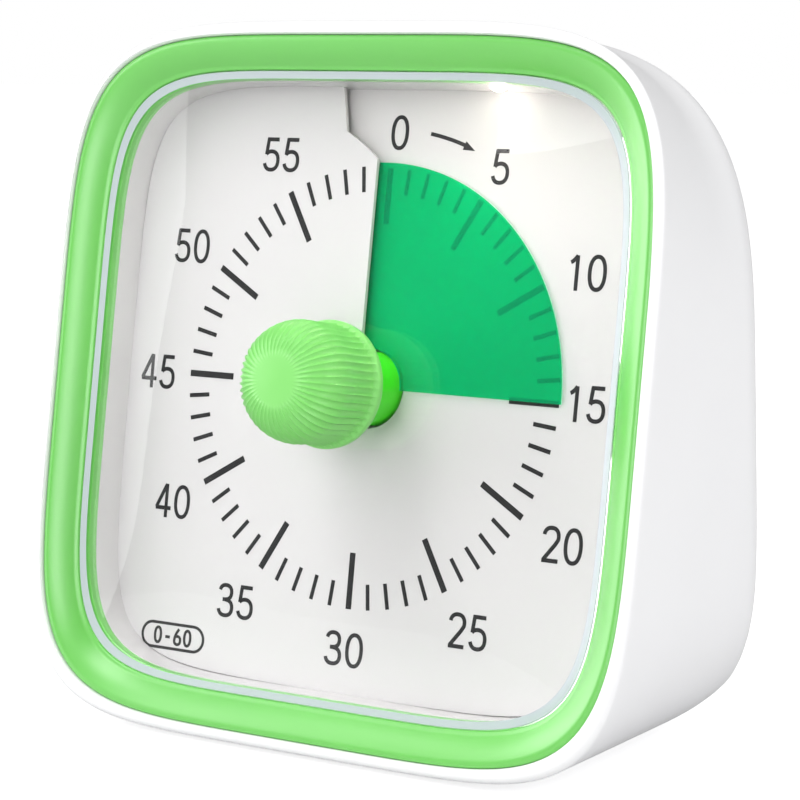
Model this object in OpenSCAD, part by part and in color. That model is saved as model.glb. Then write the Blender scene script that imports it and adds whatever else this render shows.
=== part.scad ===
// Visual countdown timer: a desk timer whose coloured film disc sweeps over a 60-minute dial.
// Millimetres, +Z up, +X to the right of the dial, -Y towards the reader.
// The origin lies on the underside of the base pad, under the middle of the body.
// Dial coordinates: u to the right, v up the dial, w out of the dial towards the reader.
// Back coordinates: x to the right of the dial, y out of the back, z up the back.

/* [Placement] */
// Distance of the dial's centre in front of the origin
dial_front = 8.4; // [7:0.1:11]
// Angle by which the dial leans back
lean = 9; // [6:0.5:11]

/* [Housing] */
// Half-width of the housing's front rim
rim_half_w = 41; // [40.5:0.1:44]
// Height of the rim's top above the dial's centre
rim_top = 41; // [40:0.1:44]
// Depth of the rim's bottom below the dial's centre
rim_bottom = 41.7; // [41.2:0.1:42]
// Distance of the rim's front edge in front of the dial
rim_w = 8.7; // [8.5:0.1:10]
// Rounding of the rim's front edge
rim_round = 0.9; // [0.3:0.1:0.9]
// Distance from the dial's centre back to the housing's back face
back_depth = 33.3; // [33:0.1:42]
// Amount by which each side of the back stands in from the rim
back_narrow = 3.4; // [2:0.1:4]
// Amount by which the back's top stands in from the rim
back_short = 0.8; // [0.6:0.1:1.2]
// Angle by which the back face leans forward
back_lean = 3.4; // [2:0.2:4]
// Width of the rounded band around the back face
back_round_w = 10.3; // [7:0.1:10.6]
// Depth of the rounded band around the back face
back_round_d = 15.4; // [11:0.1:17]
// Wall of the housing's sides
wall = 1.5; // [1.2:0.1:1.6]
// Wall of the housing's back
back_wall = 2; // [1.8:0.1:2.4]

/* [Bezel and lens] */
// Width of the rim beside the bezel
rim_side = 1.1; // [1:0.05:1.5]
// Width of the rim above the bezel
rim_above = 1.6; // [1.4:0.05:1.8]
// Width of the rim under the bezel
rim_under = 1.4; // [1.3:0.05:1.7]
// Distance of the bezel's outer edge in front of the dial
bezel_w = 8.3; // [8:0.1:8.6]
// Width of the bezel's sides
bezel_side = 3.9; // [3.6:0.1:4.4]
// Width of the bezel's top
bezel_above = 3.8; // [3.6:0.1:4.4]
// Width of the bezel's bottom
bezel_under = 3.9; // [3.6:0.1:4.4]
// Distance of the bezel's inner edge in front of the dial
window_w = 6.4; // [6.3:0.05:6.8]
// Thickness of the lens
lens_t = 1.2; // [1:0.1:1.4]
// Radius of the hole in the lens that the hub passes through
lens_hole_r = 4.9; // [4.7:0.05:5.5]

/* [Dial and disc] */
// Outer radius of the film disc
disc_r = 26.15; // [24:0.05:27]
// Thickness of the film disc
disc_t = 0.2; // [0.15:0.05:0.3]
// Minutes set at rest
minutes_set = 15; // [1:1:50]
// Thickness of the dial sheet
dial_t = 0.5; // [0.4:0.05:0.6]
// Rise of the dial's ramp in one turn
ramp_rise = 1.6; // [1.5:0.1:2]
// Width of the white overlap under the dial's lip, in degrees
lip_overlap = 16; // [12:1:20]
// Distance of the dial's lip to the left of the noon line
lip_offset = 0.9; // [0.5:0.05:1.2]
// Wall of the well around the dial
well_wall = 1; // [0.8:0.1:1.1]

/* [Knob] */
// Radius of the knob's lip
knob_r = 7.27; // [6.5:0.01:8]
// Distance of the knob's flat front from the dial
knob_w = 18.6; // [17:0.1:21]
// Number of flutes around the knob
flutes = 48; // [36:1:60]
// Depth of a flute
flute_depth = 0.2; // [0.12:0.01:0.25]
// Radius of the hub that carries the disc
hub_r = 4.25; // [3.6:0.05:4.4]
// Radius of the spindle
spindle_r = 1.5; // [1.2:0.05:1.8]

/* [Movement] */
// Half-width of the movement's square case
case_half = 21; // [20:0.5:22]
// Depth of the movement's case
case_depth = 12; // [11:0.5:12.5]
// Wall of the movement's case
case_wall = 1.2; // [1:0.1:1.4]
// Gear module of the train
gear_module = 0.3; // [0.28:0.01:0.31]
// Teeth of the wheel on the spindle
spindle_teeth = 60; // [56:1:62]
// Teeth of the third wheel
third_teeth = 50; // [46:1:52]
// Teeth of the fourth wheel
fourth_teeth = 40; // [30:1:42]
// Teeth of each pinion
pinion_teeth = 10; // [10:1:11]
// Thickness of each wheel
wheel_t = 0.8; // [0.6:0.1:1]
// Radius of each arbor
arbor_r = 0.5; // [0.4:0.05:0.6]

/* [Power and controls] */
// Radius of one cell
cell_r = 5.25; // [5:0.05:5.3]
// Length of one cell
cell_l = 44.5; // [44:0.1:44.8]
// Radius of the light button
button_r = 3; // [2.5:0.1:3.5]
// Travel of the light button
button_travel = 1; // [0.6:0.1:1.2]
// Travel of the volume slider from off to high
slider_travel = 4; // [3:0.5:5]
// Thickness of the circuit boards
board_t = 1; // [0.8:0.1:1.2]
// Radius of the buzzer
buzzer_r = 6.5; // [5.5:0.1:7]
// Thickness of the base pad below the housing's lowest line
pad_show = 0.6; // [0.5:0.1:1]

/* [Fits] */
// Gap between parts that slide or turn in each other
running = 0.05; // [0.03:0.01:0.08]
// Gap between parts that are fixed in each other
seat = 0.02; // [0.01:0.01:0.03]
// Gap around parts that move past each other
clear = 0.3; // [0.25:0.05:0.4]
// Distance that a cutting solid passes beyond what it cuts
cut = 1; // [0.5:0.1:1]

/* [Hidden] */
$fn = 64;

// Housing outline: superellipse powers of the upper and lower halves
rim_power_top = 4.8;
rim_power_bottom = 5.65;
back_power_top = 3.4;
back_power_bottom = 6.5;
bezel_power = 5.2;
window_power = 5.8;
outline_steps = 72;
round_steps = 5;
back_half_w = rim_half_w - back_narrow;
back_half_h = rim_top - back_short;
back_rise = 1.2;
back_y = back_depth - dial_front;
dial_z = pad_show + rim_bottom * cos(lean) - (rim_w - rim_round) * sin(lean);
back_z = dial_z + back_rise;

// Bezel and window outlines, from the rim inwards
bezel_half_w = rim_half_w - rim_side;
bezel_top = rim_top - rim_above;
bezel_bottom = rim_bottom - rim_under;
window_half_w = bezel_half_w - bezel_side;
window_top = bezel_top - bezel_above;
window_bottom = bezel_bottom - bezel_under;
bezel_round = 0.6;
bezel_round_d = 0.3;
bezel_crown = 0.25;
crown_steps = 4;
window_round = 0.35;
skirt_in = 0.85;
skirt_l = 1.2;
skirt_spare = 0.1;
skirt_flare = 0.4;

// Stack of levels along w
lens_drop = 0.3;
lens_front = window_w - lens_drop;
lens_back = lens_front - lens_t;
lens_step = 0.2;
lens_fit = 0.1;
lens_rise = 0.18;
lens_chamfer = 0.08;
shoulder_w = lens_back + lens_step;
skirt_w = shoulder_w - skirt_l;
ledge_drop = 0.65;
ledge_w = shoulder_w - ledge_drop;
ledge_t = 1;
ramp_mid = -0.15;
ramp_start = ramp_mid - ramp_rise / 2;
disc_lift = (ramp_rise - dial_t) / 2;
well_bottom = -3;
chassis_t = 1.5;
chassis_in = 4.6;
chassis_short = 3.4;
chassis_back = well_bottom - chassis_t;
chassis_half_w = rim_half_w - chassis_in;
chassis_half_h = rim_top - chassis_short;
chassis_power_top = 4.2;
well_top = window_top - skirt_in;
hole_gap = 0.4;
dial_hole_r = hub_r + hole_gap;
dial_mid_r = 14;
film_mid_r = 15;
jog_from = disc_r + clear;
jog_run = 3.6;
jog_end = 10.6;
post_r = 1.6;
post_root = 0.5;
post_gap = 0.15;
post_reach = 27.5;

// Knob and spindle levels along w
waist_in = 0.42;
flute_r = 0.3;
flute_l = 8;
knob_back = 7.6;
lip_round = 0.3;
lip_rise = 0.4;
lip_flat = 0.9;
waist_rise = 3.1;
shoulder_rise = 6;
shoulder_in = 0.31;
shoulder_r = knob_r - shoulder_in;
cap_r = 2.7;
hub_gap = 0.2;
hub_back = well_bottom + hub_gap;
spindle_short = 3.6;
spindle_front = knob_w - spindle_short;
bore_spare = 0.2;

// Movement
case_front = chassis_back - seat;
case_back = case_front - case_depth;
gear_gap = 0.05;
tooth_play = 0.05;
tooth_addendum = 0.8;
tooth_dedendum = 1.15;
pressure = 25;
case_screw_in = 3;
cam_t = 0.8;
cam_gap = 0.35;
cam_r = 3.4;
cam_lobe_r = 4.4;
cam_lobe_w = 1.2;
cam_turn = 200;
cam_level = case_front - case_wall - cam_gap - cam_t;
contact_u = -15;
contact_l = 8;
contact_w = 1.6;
contact_t = 0.3;
contact_rise = 0.2;
contact_foot = 2;
wheel_gap = 0.5;
spindle_level = cam_level - wheel_gap - wheel_t;
third_level = spindle_level - wheel_gap - wheel_t;
fourth_level = third_level - wheel_gap - wheel_t;
third_angle = -50;
fourth_angle = 50;
third_dist = gear_module * (spindle_teeth + pinion_teeth) / 2 + gear_gap;
fourth_dist = gear_module * (third_teeth + pinion_teeth) / 2 + gear_gap;
third_at = [third_dist * cos(third_angle), third_dist * sin(third_angle)];
fourth_at = third_at + [fourth_dist * cos(fourth_angle), fourth_dist * sin(fourth_angle)];
rotor_at = [-13.5, 6];
rotor_r = 2.6;
rotor_t = 2;
rotor_stand = 3.4;
rotor_level = case_back + case_wall + rotor_stand;
rotor_pinion_over = 2;
stator_t = 1;
stator_level = rotor_level + rotor_t / 2 - stator_t / 2;
coil_r = 2.4;
coil_l = 6;
coil_drop = 11;
stator_half = 4.6;
stator_leg = 2;

// Back: cells, board and controls
box_wall = 0.8;
cell_gap = 0.4;
cell_play = 0.6;
cell_drop = 0.2;
contact_room = 1.6;
leaf_t = 0.4;
leaf_w = 7;
leaf_boss_r = 1.6;
bay_w = cell_l + 2 * contact_room;
bay_h = 4 * cell_r + 3 * cell_gap;
bay_d = 2 * cell_r + cell_play;
bay_z = -11;
door_t = back_wall;
door_gap = 0.2;
door_pin_r = 0.6;
door_pin_l = 0.9;
notch_r = 1.6;
notch_l = 12;
notch_out = 0.6;
notch_in = 2;
board_w = 48;
board_h = 24;
board_z = 17;
board_y = -9;
switch_x = 15;
switch_z = 17;
slider_w = 3;
slider_h = 2.4;
slider_show = 1;
tongue_half = 0.8;
tongue_l = 3;
tongue_spare = 0.4;
switch_over = 3.5;
switch_half_h = 2.4;
switch_gap = 1.2;
light_switch_half = 3;
button_show = 1.6;
button_rod_r = 1.2;
button_stop = 0.1;
button_flange = 0.8;
button_flange_t = 0.8;
rod_gap = 0.2;
switch_face = 6;
buzzer_h = 4.6;
buzzer_z = 18;
buzzer_hole_r = 1;
buzzer_hole_d = 1;
chip_half = 4;
chip_t = 1.2;
crystal_x = 9;
crystal_r = 1;
crystal_l = 6;
sound_hole_r = 0.6;
sound_ring_r = 3;
sound_holes = 6;
board_boss_x = 20;
board_boss_z = 24;
boss_r = 2.2;
boss_root = 0.5;
boss_floor = 2;
screw_r = 0.8;
screw_l = 8;
screw_clear = 0.2;
screw_short = 0.2;
screw_head_r = 1.7;
screw_head_t = 1;
board_screw_l = 4;

// Chassis bosses in the housing
chassis_boss_u = 33.2;
chassis_boss_v = 18;
chassis_boss_l = 11;
chassis_boss_r = 2.7;
rib_l = 3.7;
rib_t = 1.6;

// Light under the well's top wall
led_u = 15.4;
led_w = 2;
led_r = 1.2;
led_show = 0.6;
led_flange_r = 1.6;
led_flange_t = 0.8;
led_stand = 2.25;
led_board_v = well_top + well_wall + led_stand;
led_board_w = 10;
led_board_d = 4.4;

// Leads from the light's board to the main board
lead_r = 0.5;
lead_spread = 2;
lead_sides = 8;
lead_steps = 3;
lead_gap = 0.3;
lead_start = 1;
lead_v = led_board_v + board_t / 2;
lead_straight_w = -6;
lead_bend = [2.5, 11];
lead_fall = [7.5, 15];
lead_in = 3;

// Base pad
pad_w = 50;
pad_d = 26;
pad_y = -1;
pad_round = 5;
pad_depth = 1.4;

// ---- Frames ----

// Places children given in dial coordinates
module in_dial() {
    translate([0, -dial_front, dial_z]) rotate([90 - lean, 0, 0]) children();
}

// Places children given in back coordinates
module in_back() {
    translate([0, back_y, back_z]) rotate([back_lean, 0, 0]) children();
}

// A point given in dial coordinates
function from_dial(u, v, w) = [
    u,
    -dial_front + v * sin(lean) - w * cos(lean),
    dial_z + v * cos(lean) + w * sin(lean)
];

// A point given in back coordinates
function from_back(x, y, z) = [
    x,
    back_y + y * cos(back_lean) - z * sin(back_lean),
    back_z + y * sin(back_lean) + z * cos(back_lean)
];

// ---- Outlines and lofts ----

// A point on a superellipse at an angle, with its own height and power above and below the middle
function outline(angle, half_w, top, bottom, power_top, power_bottom) =
    let (c = cos(angle), s = sin(angle), up = s > 0,
        n = up ? power_top : power_bottom,
        h = up ? top : bottom,
        r = pow(pow(abs(c), n) + pow(abs(s), n), -1 / n))
    [half_w * r * c, h * r * s];

// A ring of points in the dial's frame, drawn in from the given outline by inset
function dial_ring(half_w, top, bottom, power_top, power_bottom, inset, w) = [
    for (i = [0 : outline_steps - 1])
        let (p = outline(i * 360 / outline_steps, half_w - inset, top - inset, bottom - inset,
            power_top, power_bottom))
        from_dial(p[0], p[1], w)
];

// A ring of the housing's back, drawn in by inset at a depth inside the back face
function back_ring(inset, depth) = [
    for (i = [0 : outline_steps - 1])
        let (p = outline(i * 360 / outline_steps, back_half_w - inset, back_half_h - inset,
            back_half_h - inset, back_power_top, back_power_bottom))
        from_back(p[0], -depth, p[1])
];

// The housing's rim, drawn in by inset at level w
function rim_ring(inset, w) =
    dial_ring(rim_half_w, rim_top, rim_bottom, rim_power_top, rim_power_bottom, inset, w);

// The bezel's outer outline, drawn in by inset at level w
function bezel_ring(inset, w) =
    dial_ring(bezel_half_w, bezel_top, bezel_bottom, bezel_power, bezel_power, inset, w);

// The window's outline, drawn in by inset at level w
function window_ring(inset, w) =
    dial_ring(window_half_w, window_top, window_bottom, window_power, window_power, inset, w);

// A ring a share of the way from ring a to ring b, moved by lift
function ring_between(a, b, share, lift) =
    [for (i = [0 : len(a) - 1]) a[i] + (b[i] - a[i]) * share + lift];

// A flat outline in dial coordinates, drawn in by inset
module flat_outline(half_w, top, bottom, power_top, power_bottom, inset) {
    polygon([for (i = [0 : outline_steps - 1])
        outline(i * 360 / outline_steps, half_w - inset, top - inset, bottom - inset,
            power_top, power_bottom)]);
}

// Flat list from a list of lists
function flat(lists) = [for (l = lists) each l];

// Side faces between ring k and ring k + 1 of n points each, wrapping to ring 0 at the end
function side_faces(rings, n, wrap) = [
    for (k = [0 : rings - (wrap ? 1 : 2)], i = [0 : n - 1])
        let (a = k * n, b = ((k + 1) % rings) * n, j = (i + 1) % n)
        each [[a + i, a + j, b + i], [a + j, b + j, b + i]]
];

// Closed solid through a list of rings, from the front ring to the back ring
module loft(rings) {
    n = len(rings[0]);
    last = (len(rings) - 1) * n;
    polyhedron(
        points = flat(rings),
        faces = concat(
            side_faces(len(rings), n, false),
            [[for (i = [n - 1 : -1 : 0]) i]],
            [[for (i = [0 : n - 1]) last + i]]
        )
    );
}

// Closed ring-shaped solid through a list of rings that returns to its first ring
module ring_loft(rings) {
    polyhedron(points = flat(rings), faces = side_faces(len(rings), len(rings[0]), true));
}

// ---- The ramp shared by the dial and the disc ----

// Angles here run clockwise from the top of the dial
function ramp_w(turn) = ramp_start + ramp_rise * turn / 360;

// Sheet that follows the ramp: one row of points for each turn step, from_r to to_r in each row
module ramp_sheet(rows, thickness) {
    m = len(rows);
    n = len(rows[0]);
    under = m * n;
    front = [for (row = rows) each row];
    polyhedron(
        points = concat(front, [for (p = front) p - [0, 0, thickness]]),
        faces = concat(
            [for (a = [0 : m - 2], b = [0 : n - 2])
                let (p = a * n + b, q = p + n)
                each [[p, p + 1, q], [p + 1, q + 1, q],
                    [under + p, under + q, under + p + 1], [under + p + 1, under + q, under + q + 1]]],
            [for (a = [0 : m - 2])
                let (p = a * n, q = p + n, e = p + n - 1, f = e + n)
                each [[p, q, under + p], [q, under + q, under + p],
                    [e, under + e, f], [f, under + e, under + f]]],
            [for (b = [0 : n - 2])
                let (p = b, q = (m - 1) * n + b)
                each [[p, under + p, p + 1], [p + 1, under + p, under + p + 1],
                    [q, q + 1, under + q], [q + 1, under + q + 1, under + q]]]
        )
    );
}

// A ramp point at a clockwise turn and a radius, raised by lift
function ramp_point(turn, r, lift) = [r * sin(turn), r * cos(turn), ramp_w(turn) + lift];

// ---- Gears ----

// Angle of an involute in degrees where it has unrolled to radius r from base radius b
function involute(b, r) =
    r <= b ? 0 : let (t = sqrt(r * r / (b * b) - 1)) t * 180 / PI - atan(t);

// Outline of a spur gear with play taken off every tooth
function gear_outline(teeth) =
    let (pitch = gear_module * teeth / 2,
        base = pitch * cos(pressure),
        tip = pitch + tooth_addendum * gear_module,
        root = pitch - tooth_dedendum * gear_module,
        half = 90 / teeth - tooth_play / pitch * 90 / PI + involute(base, pitch),
        low = max(root, base),
        radii = [for (k = [0 : 4]) low + (tip - low) * k / 4])
    [for (i = [0 : teeth - 1]) let (mid = i * 360 / teeth)
        each concat(
            root < base ? [let (a = mid - half) root * [cos(a), sin(a)]] : [],
            [for (r = radii) let (a = mid - half + involute(base, r)) r * [cos(a), sin(a)]],
            [for (k = [4 : -1 : 0]) let (r = radii[k], a = mid + half - involute(base, r))
                r * [cos(a), sin(a)]],
            root < base ? [let (a = mid + half) root * [cos(a), sin(a)]] : [])];

// A spur gear standing on its level, turned by phase
module gear(teeth, level, thickness, phase) {
    translate([0, 0, level]) rotate([0, 0, phase])
        linear_extrude(thickness) polygon(gear_outline(teeth));
}

// A wheel on its arbor with a pinion that reaches up to the wheel before it
module wheel_and_pinion(teeth, level, pinion_top, phase, pinion_phase) {
    gear(teeth, level, wheel_t, phase);
    gear(pinion_teeth, level, pinion_top - level, pinion_phase);
    translate([0, 0, case_back + case_wall / 2])
        cylinder(r = arbor_r, h = case_depth - case_wall);
}

// Phase that puts a gap of a driven pinion opposite a tooth of its driver along the line between them
function mesh_phase(driver_phase, driver_teeth, driven_teeth, angle) =
    let (tooth = (angle - driver_phase) * driver_teeth / 360,
        off = tooth - round(tooth))
    angle + 180 + 180 / driven_teeth + off * 360 / driven_teeth;

third_phase = mesh_phase(0, spindle_teeth, pinion_teeth, third_angle);
fourth_phase = mesh_phase(0, third_teeth, pinion_teeth, fourth_angle);

// ---- Casing ----

// Solid that fills the housing's outside
module housing_outside() {
    loft(concat(
        [for (k = [0 : 2]) let (a = 45 * k)
            rim_ring(rim_round * (1 - sin(a)), rim_w - rim_round * (1 - cos(a)))],
        [for (k = [0 : round_steps]) let (a = 90 * k / round_steps)
            back_ring(back_round_w * (1 - cos(a)), back_round_d * (1 - sin(a)))]
    ));
}

// Solid that fills the housing's inside behind the bezel's ledge
module housing_inside() {
    loft(concat(
        [rim_ring(wall + rim_round, rim_w + cut)],
        [rim_ring(wall, ledge_w - ledge_t)],
        [for (k = [0 : round_steps]) let (a = 90 * k / round_steps)
            back_ring(wall + back_round_w * (1 - cos(a)), back_wall + back_round_d * (1 - sin(a)))]
    ));
}

// The bezel's seat, cut down to the ledge
module bezel_seat() {
    loft([for (w = [rim_w + cut, ledge_w]) bezel_ring(-running, w)]);
}

// Outline of the base pad, grown by gap
module pad_outline(gap) {
    for (sx = [-1, 1], sy = [-1, 1])
        translate([sx * (pad_w / 2 - pad_round), pad_y + sy * (pad_d / 2 - pad_round)])
            circle(r = pad_round + gap);
    translate([0, pad_y]) square([pad_w - 2 * pad_round, pad_d + 2 * gap], center = true);
    translate([0, pad_y]) square([pad_w + 2 * gap, pad_d - 2 * pad_round], center = true);
}

// Positions of the four chassis bosses in dial coordinates
module at_chassis_bosses() {
    for (su = [-1, 1], sv = [-1, 1])
        translate([su * chassis_boss_u, sv * chassis_boss_v, 0]) children();
}

// Positions of the two board bosses in back coordinates, along y
module at_board_bosses() {
    for (s = [-1, 1])
        translate([s * board_boss_x, 0, board_boss_z]) rotate([90, 0, 0]) children();
}

// A box in back coordinates from its low and high corners
module back_box(low, high) {
    translate(low) cube(high - low);
}

module housing() {
    color("white") difference() {
        union() {
            difference() {
                housing_outside();
                housing_inside();
                bezel_seat();
            }
            in_dial() at_chassis_bosses()
                translate([0, 0, chassis_back - chassis_boss_l])
                    cylinder(r = chassis_boss_r, h = chassis_boss_l - seat);
            in_dial() for (su = [-1, 1], sv = [-1, 1])
                translate([su * (chassis_boss_u + rib_l / 2) - rib_l / 2, sv * chassis_boss_v - rib_t / 2,
                    chassis_back - chassis_boss_l])
                    cube([rib_l, rib_t, chassis_boss_l - seat]);
            in_back() at_board_bosses()
                translate([0, 0, back_wall - boss_root])
                    cylinder(r = boss_r, h = -board_y - back_wall + boss_root - seat);
        }
        in_dial() at_chassis_bosses()
            translate([0, 0, chassis_back - chassis_boss_l + boss_floor])
                cylinder(r = screw_r + seat, h = chassis_boss_l);
        in_back() at_board_bosses()
            translate([0, 0, back_wall]) cylinder(r = screw_r + seat, h = -board_y);
        in_back() back_box([-bay_w / 2, -back_wall - cut, bay_z - bay_h / 2],
            [bay_w / 2, cut, bay_z + bay_h / 2]);
        in_back() for (s = [-1, 1])
            translate([s * bay_w / 2, -door_t / 2, bay_z - bay_h / 2 + door_t / 2 + door_gap])
                rotate([0, 90, 0])
                    cylinder(r = door_pin_r + running, h = 2 * (door_pin_l + running), center = true);
        in_back() back_box(
            [-switch_x - slider_w / 2 - clear, -back_wall - cut, switch_z - slider_h / 2 - clear],
            [-switch_x + slider_w / 2 + slider_travel + clear, cut, switch_z + slider_h / 2 + clear]);
        in_back() translate([switch_x, cut, switch_z]) rotate([90, 0, 0])
            cylinder(r = button_r + clear, h = back_wall + 2 * cut);
        in_back() translate([0, cut, buzzer_z]) rotate([90, 0, 0]) {
            cylinder(r = sound_hole_r, h = back_wall + 2 * cut);
            for (i = [0 : sound_holes - 1])
                rotate([0, 0, i * 360 / sound_holes]) translate([sound_ring_r, 0, 0])
                    cylinder(r = sound_hole_r, h = back_wall + 2 * cut);
        }
        translate([0, 0, -cut]) linear_extrude(cut + pad_depth + seat) pad_outline(seat);
    }
}

module base_pad() {
    color("lightgray") linear_extrude(pad_depth) pad_outline(0);
}

// The bezel: a crowned face that slopes in to the window, a shoulder for the lens and a short skirt
module bezel() {
    face_inner = window_ring(-window_round, window_w);
    face_outer = bezel_ring(bezel_round, bezel_w);
    out = from_dial(0, 0, bezel_crown) - from_dial(0, 0, 0);
    color("lightgreen") ring_loft(concat(
        [bezel_ring(0, ledge_w + seat), window_ring(-skirt_flare, ledge_w + seat)],
        [window_ring(-skirt_spare, skirt_w), window_ring(skirt_in, skirt_w)],
        [window_ring(skirt_in, shoulder_w), window_ring(0, shoulder_w)],
        [window_ring(0, window_w - window_round)],
        [for (k = [0 : crown_steps - 1]) let (share = k / crown_steps)
            ring_between(face_inner, face_outer, share, out * 4 * share * (1 - share))],
        [for (a = [0 : 30 : 90])
            bezel_ring(bezel_round * (1 - sin(a)), bezel_w - bezel_round_d * (1 - cos(a)))]
    ));
}

// The lens: a flat plate stepped onto the bezel's shoulder, with a raised border and a hole for the hub
module lens() {
    color("aliceblue", 0.3) difference() {
        loft([
            window_ring(skirt_in + lens_fit, lens_front),
            window_ring(lens_fit + lens_chamfer, lens_front + lens_rise),
            window_ring(lens_fit, lens_front + lens_rise - lens_chamfer),
            window_ring(lens_fit, shoulder_w + seat),
            window_ring(skirt_in + lens_fit, shoulder_w + seat),
            window_ring(skirt_in + lens_fit, lens_back)
        ]);
        in_dial() translate([0, 0, lens_back - cut]) cylinder(r = lens_hole_r, h = lens_t + 2 * cut);
    }
}

// ---- Dial ----

module dial_well() {
    color("white") difference() {
        ring_loft([
            window_ring(skirt_in, skirt_w - seat),
            window_ring(skirt_in - well_wall, skirt_w - seat),
            window_ring(skirt_in - well_wall, well_bottom + seat),
            window_ring(skirt_in, well_bottom + seat)
        ]);
        in_dial() translate([led_u, well_top + well_wall + cut, led_w]) rotate([90, 0, 0])
            cylinder(r = led_r + running, h = well_wall + 3 * cut);
    }
}

// Angle of the dial's lip at radius r: straight beside the slit, then out along the jog
function lip_turn(r) =
    let (jog = r < jog_from ? 0 : min(1, (r - jog_from) / jog_run),
        slit = asin(lip_offset / r))
    360 - slit - jog * (jog_end - slit);

// Radius of the dial sheet's edge at a clockwise turn
function dial_edge(turn) =
    let (inset = skirt_in + clear)
    norm(outline(90 - turn, window_half_w - inset, window_top - inset, window_bottom - inset,
        window_power, window_power));

module dial_plate() {
    turns = 90;
    color("whitesmoke") in_dial() ramp_sheet([
        for (k = [0 : turns])
            [for (r = [dial_hole_r, dial_mid_r, jog_from, jog_from + jog_run / 2, jog_from + jog_run, 0])
                let (last = r == 0,
                    reach = last ? jog_from + jog_run : r,
                    turn = -lip_overlap + (lip_turn(reach) + lip_overlap) * k / turns)
                ramp_point(turn, last ? dial_edge(turn) : r, 0)]
    ], dial_t);
}

module film_disc() {
    turns = 88;
    tail = 356;
    color("mediumseagreen", 0.8) in_dial() ramp_sheet([
        for (k = [0 : turns])
            let (turn = minutes_set * 6 - tail + tail * k / turns)
            [for (r = [hub_r + clear, film_mid_r, disc_r]) ramp_point(turn, r, disc_lift + disc_t / 2)]
    ], disc_t);
}

module chassis() {
    color("gainsboro") difference() {
        union() {
            in_dial() translate([0, 0, chassis_back]) linear_extrude(chassis_t)
                flat_outline(chassis_half_w, chassis_half_h, chassis_half_h, chassis_power_top,
                    back_power_bottom, 0);
            in_dial() for (turn = [45 : 90 : 315])
                translate([post_reach * sin(turn) * sqrt(2), post_reach * cos(turn) * sqrt(2),
                    well_bottom - post_root])
                    cylinder(r = post_r, h = ramp_w(turn) - dial_t - post_gap - well_bottom + post_root);
        }
        in_dial() translate([0, 0, chassis_back - cut]) {
            cylinder(r = spindle_r + running, h = chassis_t + 2 * cut);
            at_chassis_bosses() cylinder(r = screw_r + screw_clear, h = chassis_t + 2 * cut);
            at_case_screws() cylinder(r = screw_r + seat, h = chassis_t + 2 * cut);
        }
    }
}

module chassis_screws() {
    color("silver") in_dial() at_chassis_bosses() {
        translate([0, 0, well_bottom + seat]) cylinder(r = screw_head_r, h = screw_head_t);
        translate([0, 0, well_bottom - screw_l]) cylinder(r = screw_r, h = screw_l + seat);
    }
}

// ---- Knob and spindle ----

// Half of the knob's section, from the back of the lip round to the flat front
knob_section = concat(
    [[0, knob_back], [knob_r - lip_round, knob_back]],
    [[knob_r, knob_back + lip_rise], [knob_r, knob_back + lip_flat]],
    [[knob_r - waist_in, knob_back + waist_rise], [shoulder_r, knob_back + shoulder_rise]],
    [for (a = [10 : 10 : 80])
        [cap_r + (shoulder_r - cap_r) * cos(a),
            knob_back + shoulder_rise + (knob_w - knob_back - shoulder_rise) * sin(a)]],
    [[cap_r, knob_w], [0, knob_w]]
);

module knob() {
    color("lightgreen") in_dial() difference() {
        rotate_extrude() polygon(knob_section);
        for (i = [0 : flutes - 1])
            rotate([0, 0, i * 360 / flutes])
                translate([knob_r - waist_in + flute_r - flute_depth, 0, knob_back - cut])
                    cylinder(r = flute_r, h = flute_l + cut);
        translate([0, 0, knob_back - cut])
            cylinder(r = spindle_r + seat, h = spindle_front - knob_back + cut + bore_spare);
    }
}

module hub() {
    color("limegreen") in_dial() difference() {
        translate([0, 0, hub_back]) cylinder(r = hub_r, h = knob_back - seat - hub_back);
        translate([0, 0, hub_back - cut])
            cylinder(r = spindle_r + seat, h = knob_back - hub_back + 2 * cut);
    }
}

module spindle() {
    color("silver") in_dial() translate([0, 0, case_back + case_wall / 2])
        cylinder(r = spindle_r, h = spindle_front - case_back - case_wall / 2);
}

module spindle_wheel() {
    color("gold") in_dial() difference() {
        gear(spindle_teeth, spindle_level, wheel_t, 0);
        translate([0, 0, spindle_level - cut]) cylinder(r = spindle_r + seat, h = wheel_t + 2 * cut);
    }
}

module alarm_cam() {
    color("whitesmoke") in_dial() translate([0, 0, cam_level]) difference() {
        union() {
            cylinder(r = cam_r, h = cam_t);
            rotate([0, 0, cam_turn]) translate([0, -cam_lobe_w / 2, 0]) cube([cam_lobe_r, cam_lobe_w, cam_t]);
        }
        translate([0, 0, -cut]) cylinder(r = spindle_r + seat, h = cam_t + 2 * cut);
    }
}

// ---- Movement ----

// Positions of the two screws that hold the movement to the chassis
module at_case_screws() {
    for (s = [-1, 1])
        translate([s * (case_half - case_screw_in), s * (case_half - case_screw_in), 0]) children();
}

module third_wheel() {
    color("gold") in_dial() translate([third_at[0], third_at[1], 0])
        wheel_and_pinion(third_teeth, third_level, spindle_level + wheel_t, 0, third_phase);
}

module fourth_wheel() {
    color("gold") in_dial() translate([fourth_at[0], fourth_at[1], 0])
        wheel_and_pinion(fourth_teeth, fourth_level, third_level + wheel_t, 0, fourth_phase);
}

module rotor() {
    color("dimgray") in_dial() translate([rotor_at[0], rotor_at[1], 0]) {
        translate([0, 0, rotor_level]) cylinder(r = rotor_r, h = rotor_t);
        translate([0, 0, rotor_level]) gear(pinion_teeth, 0, rotor_t + rotor_pinion_over, 0);
        translate([0, 0, case_back + case_wall / 2])
            cylinder(r = arbor_r, h = case_depth - case_wall);
    }
}

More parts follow.
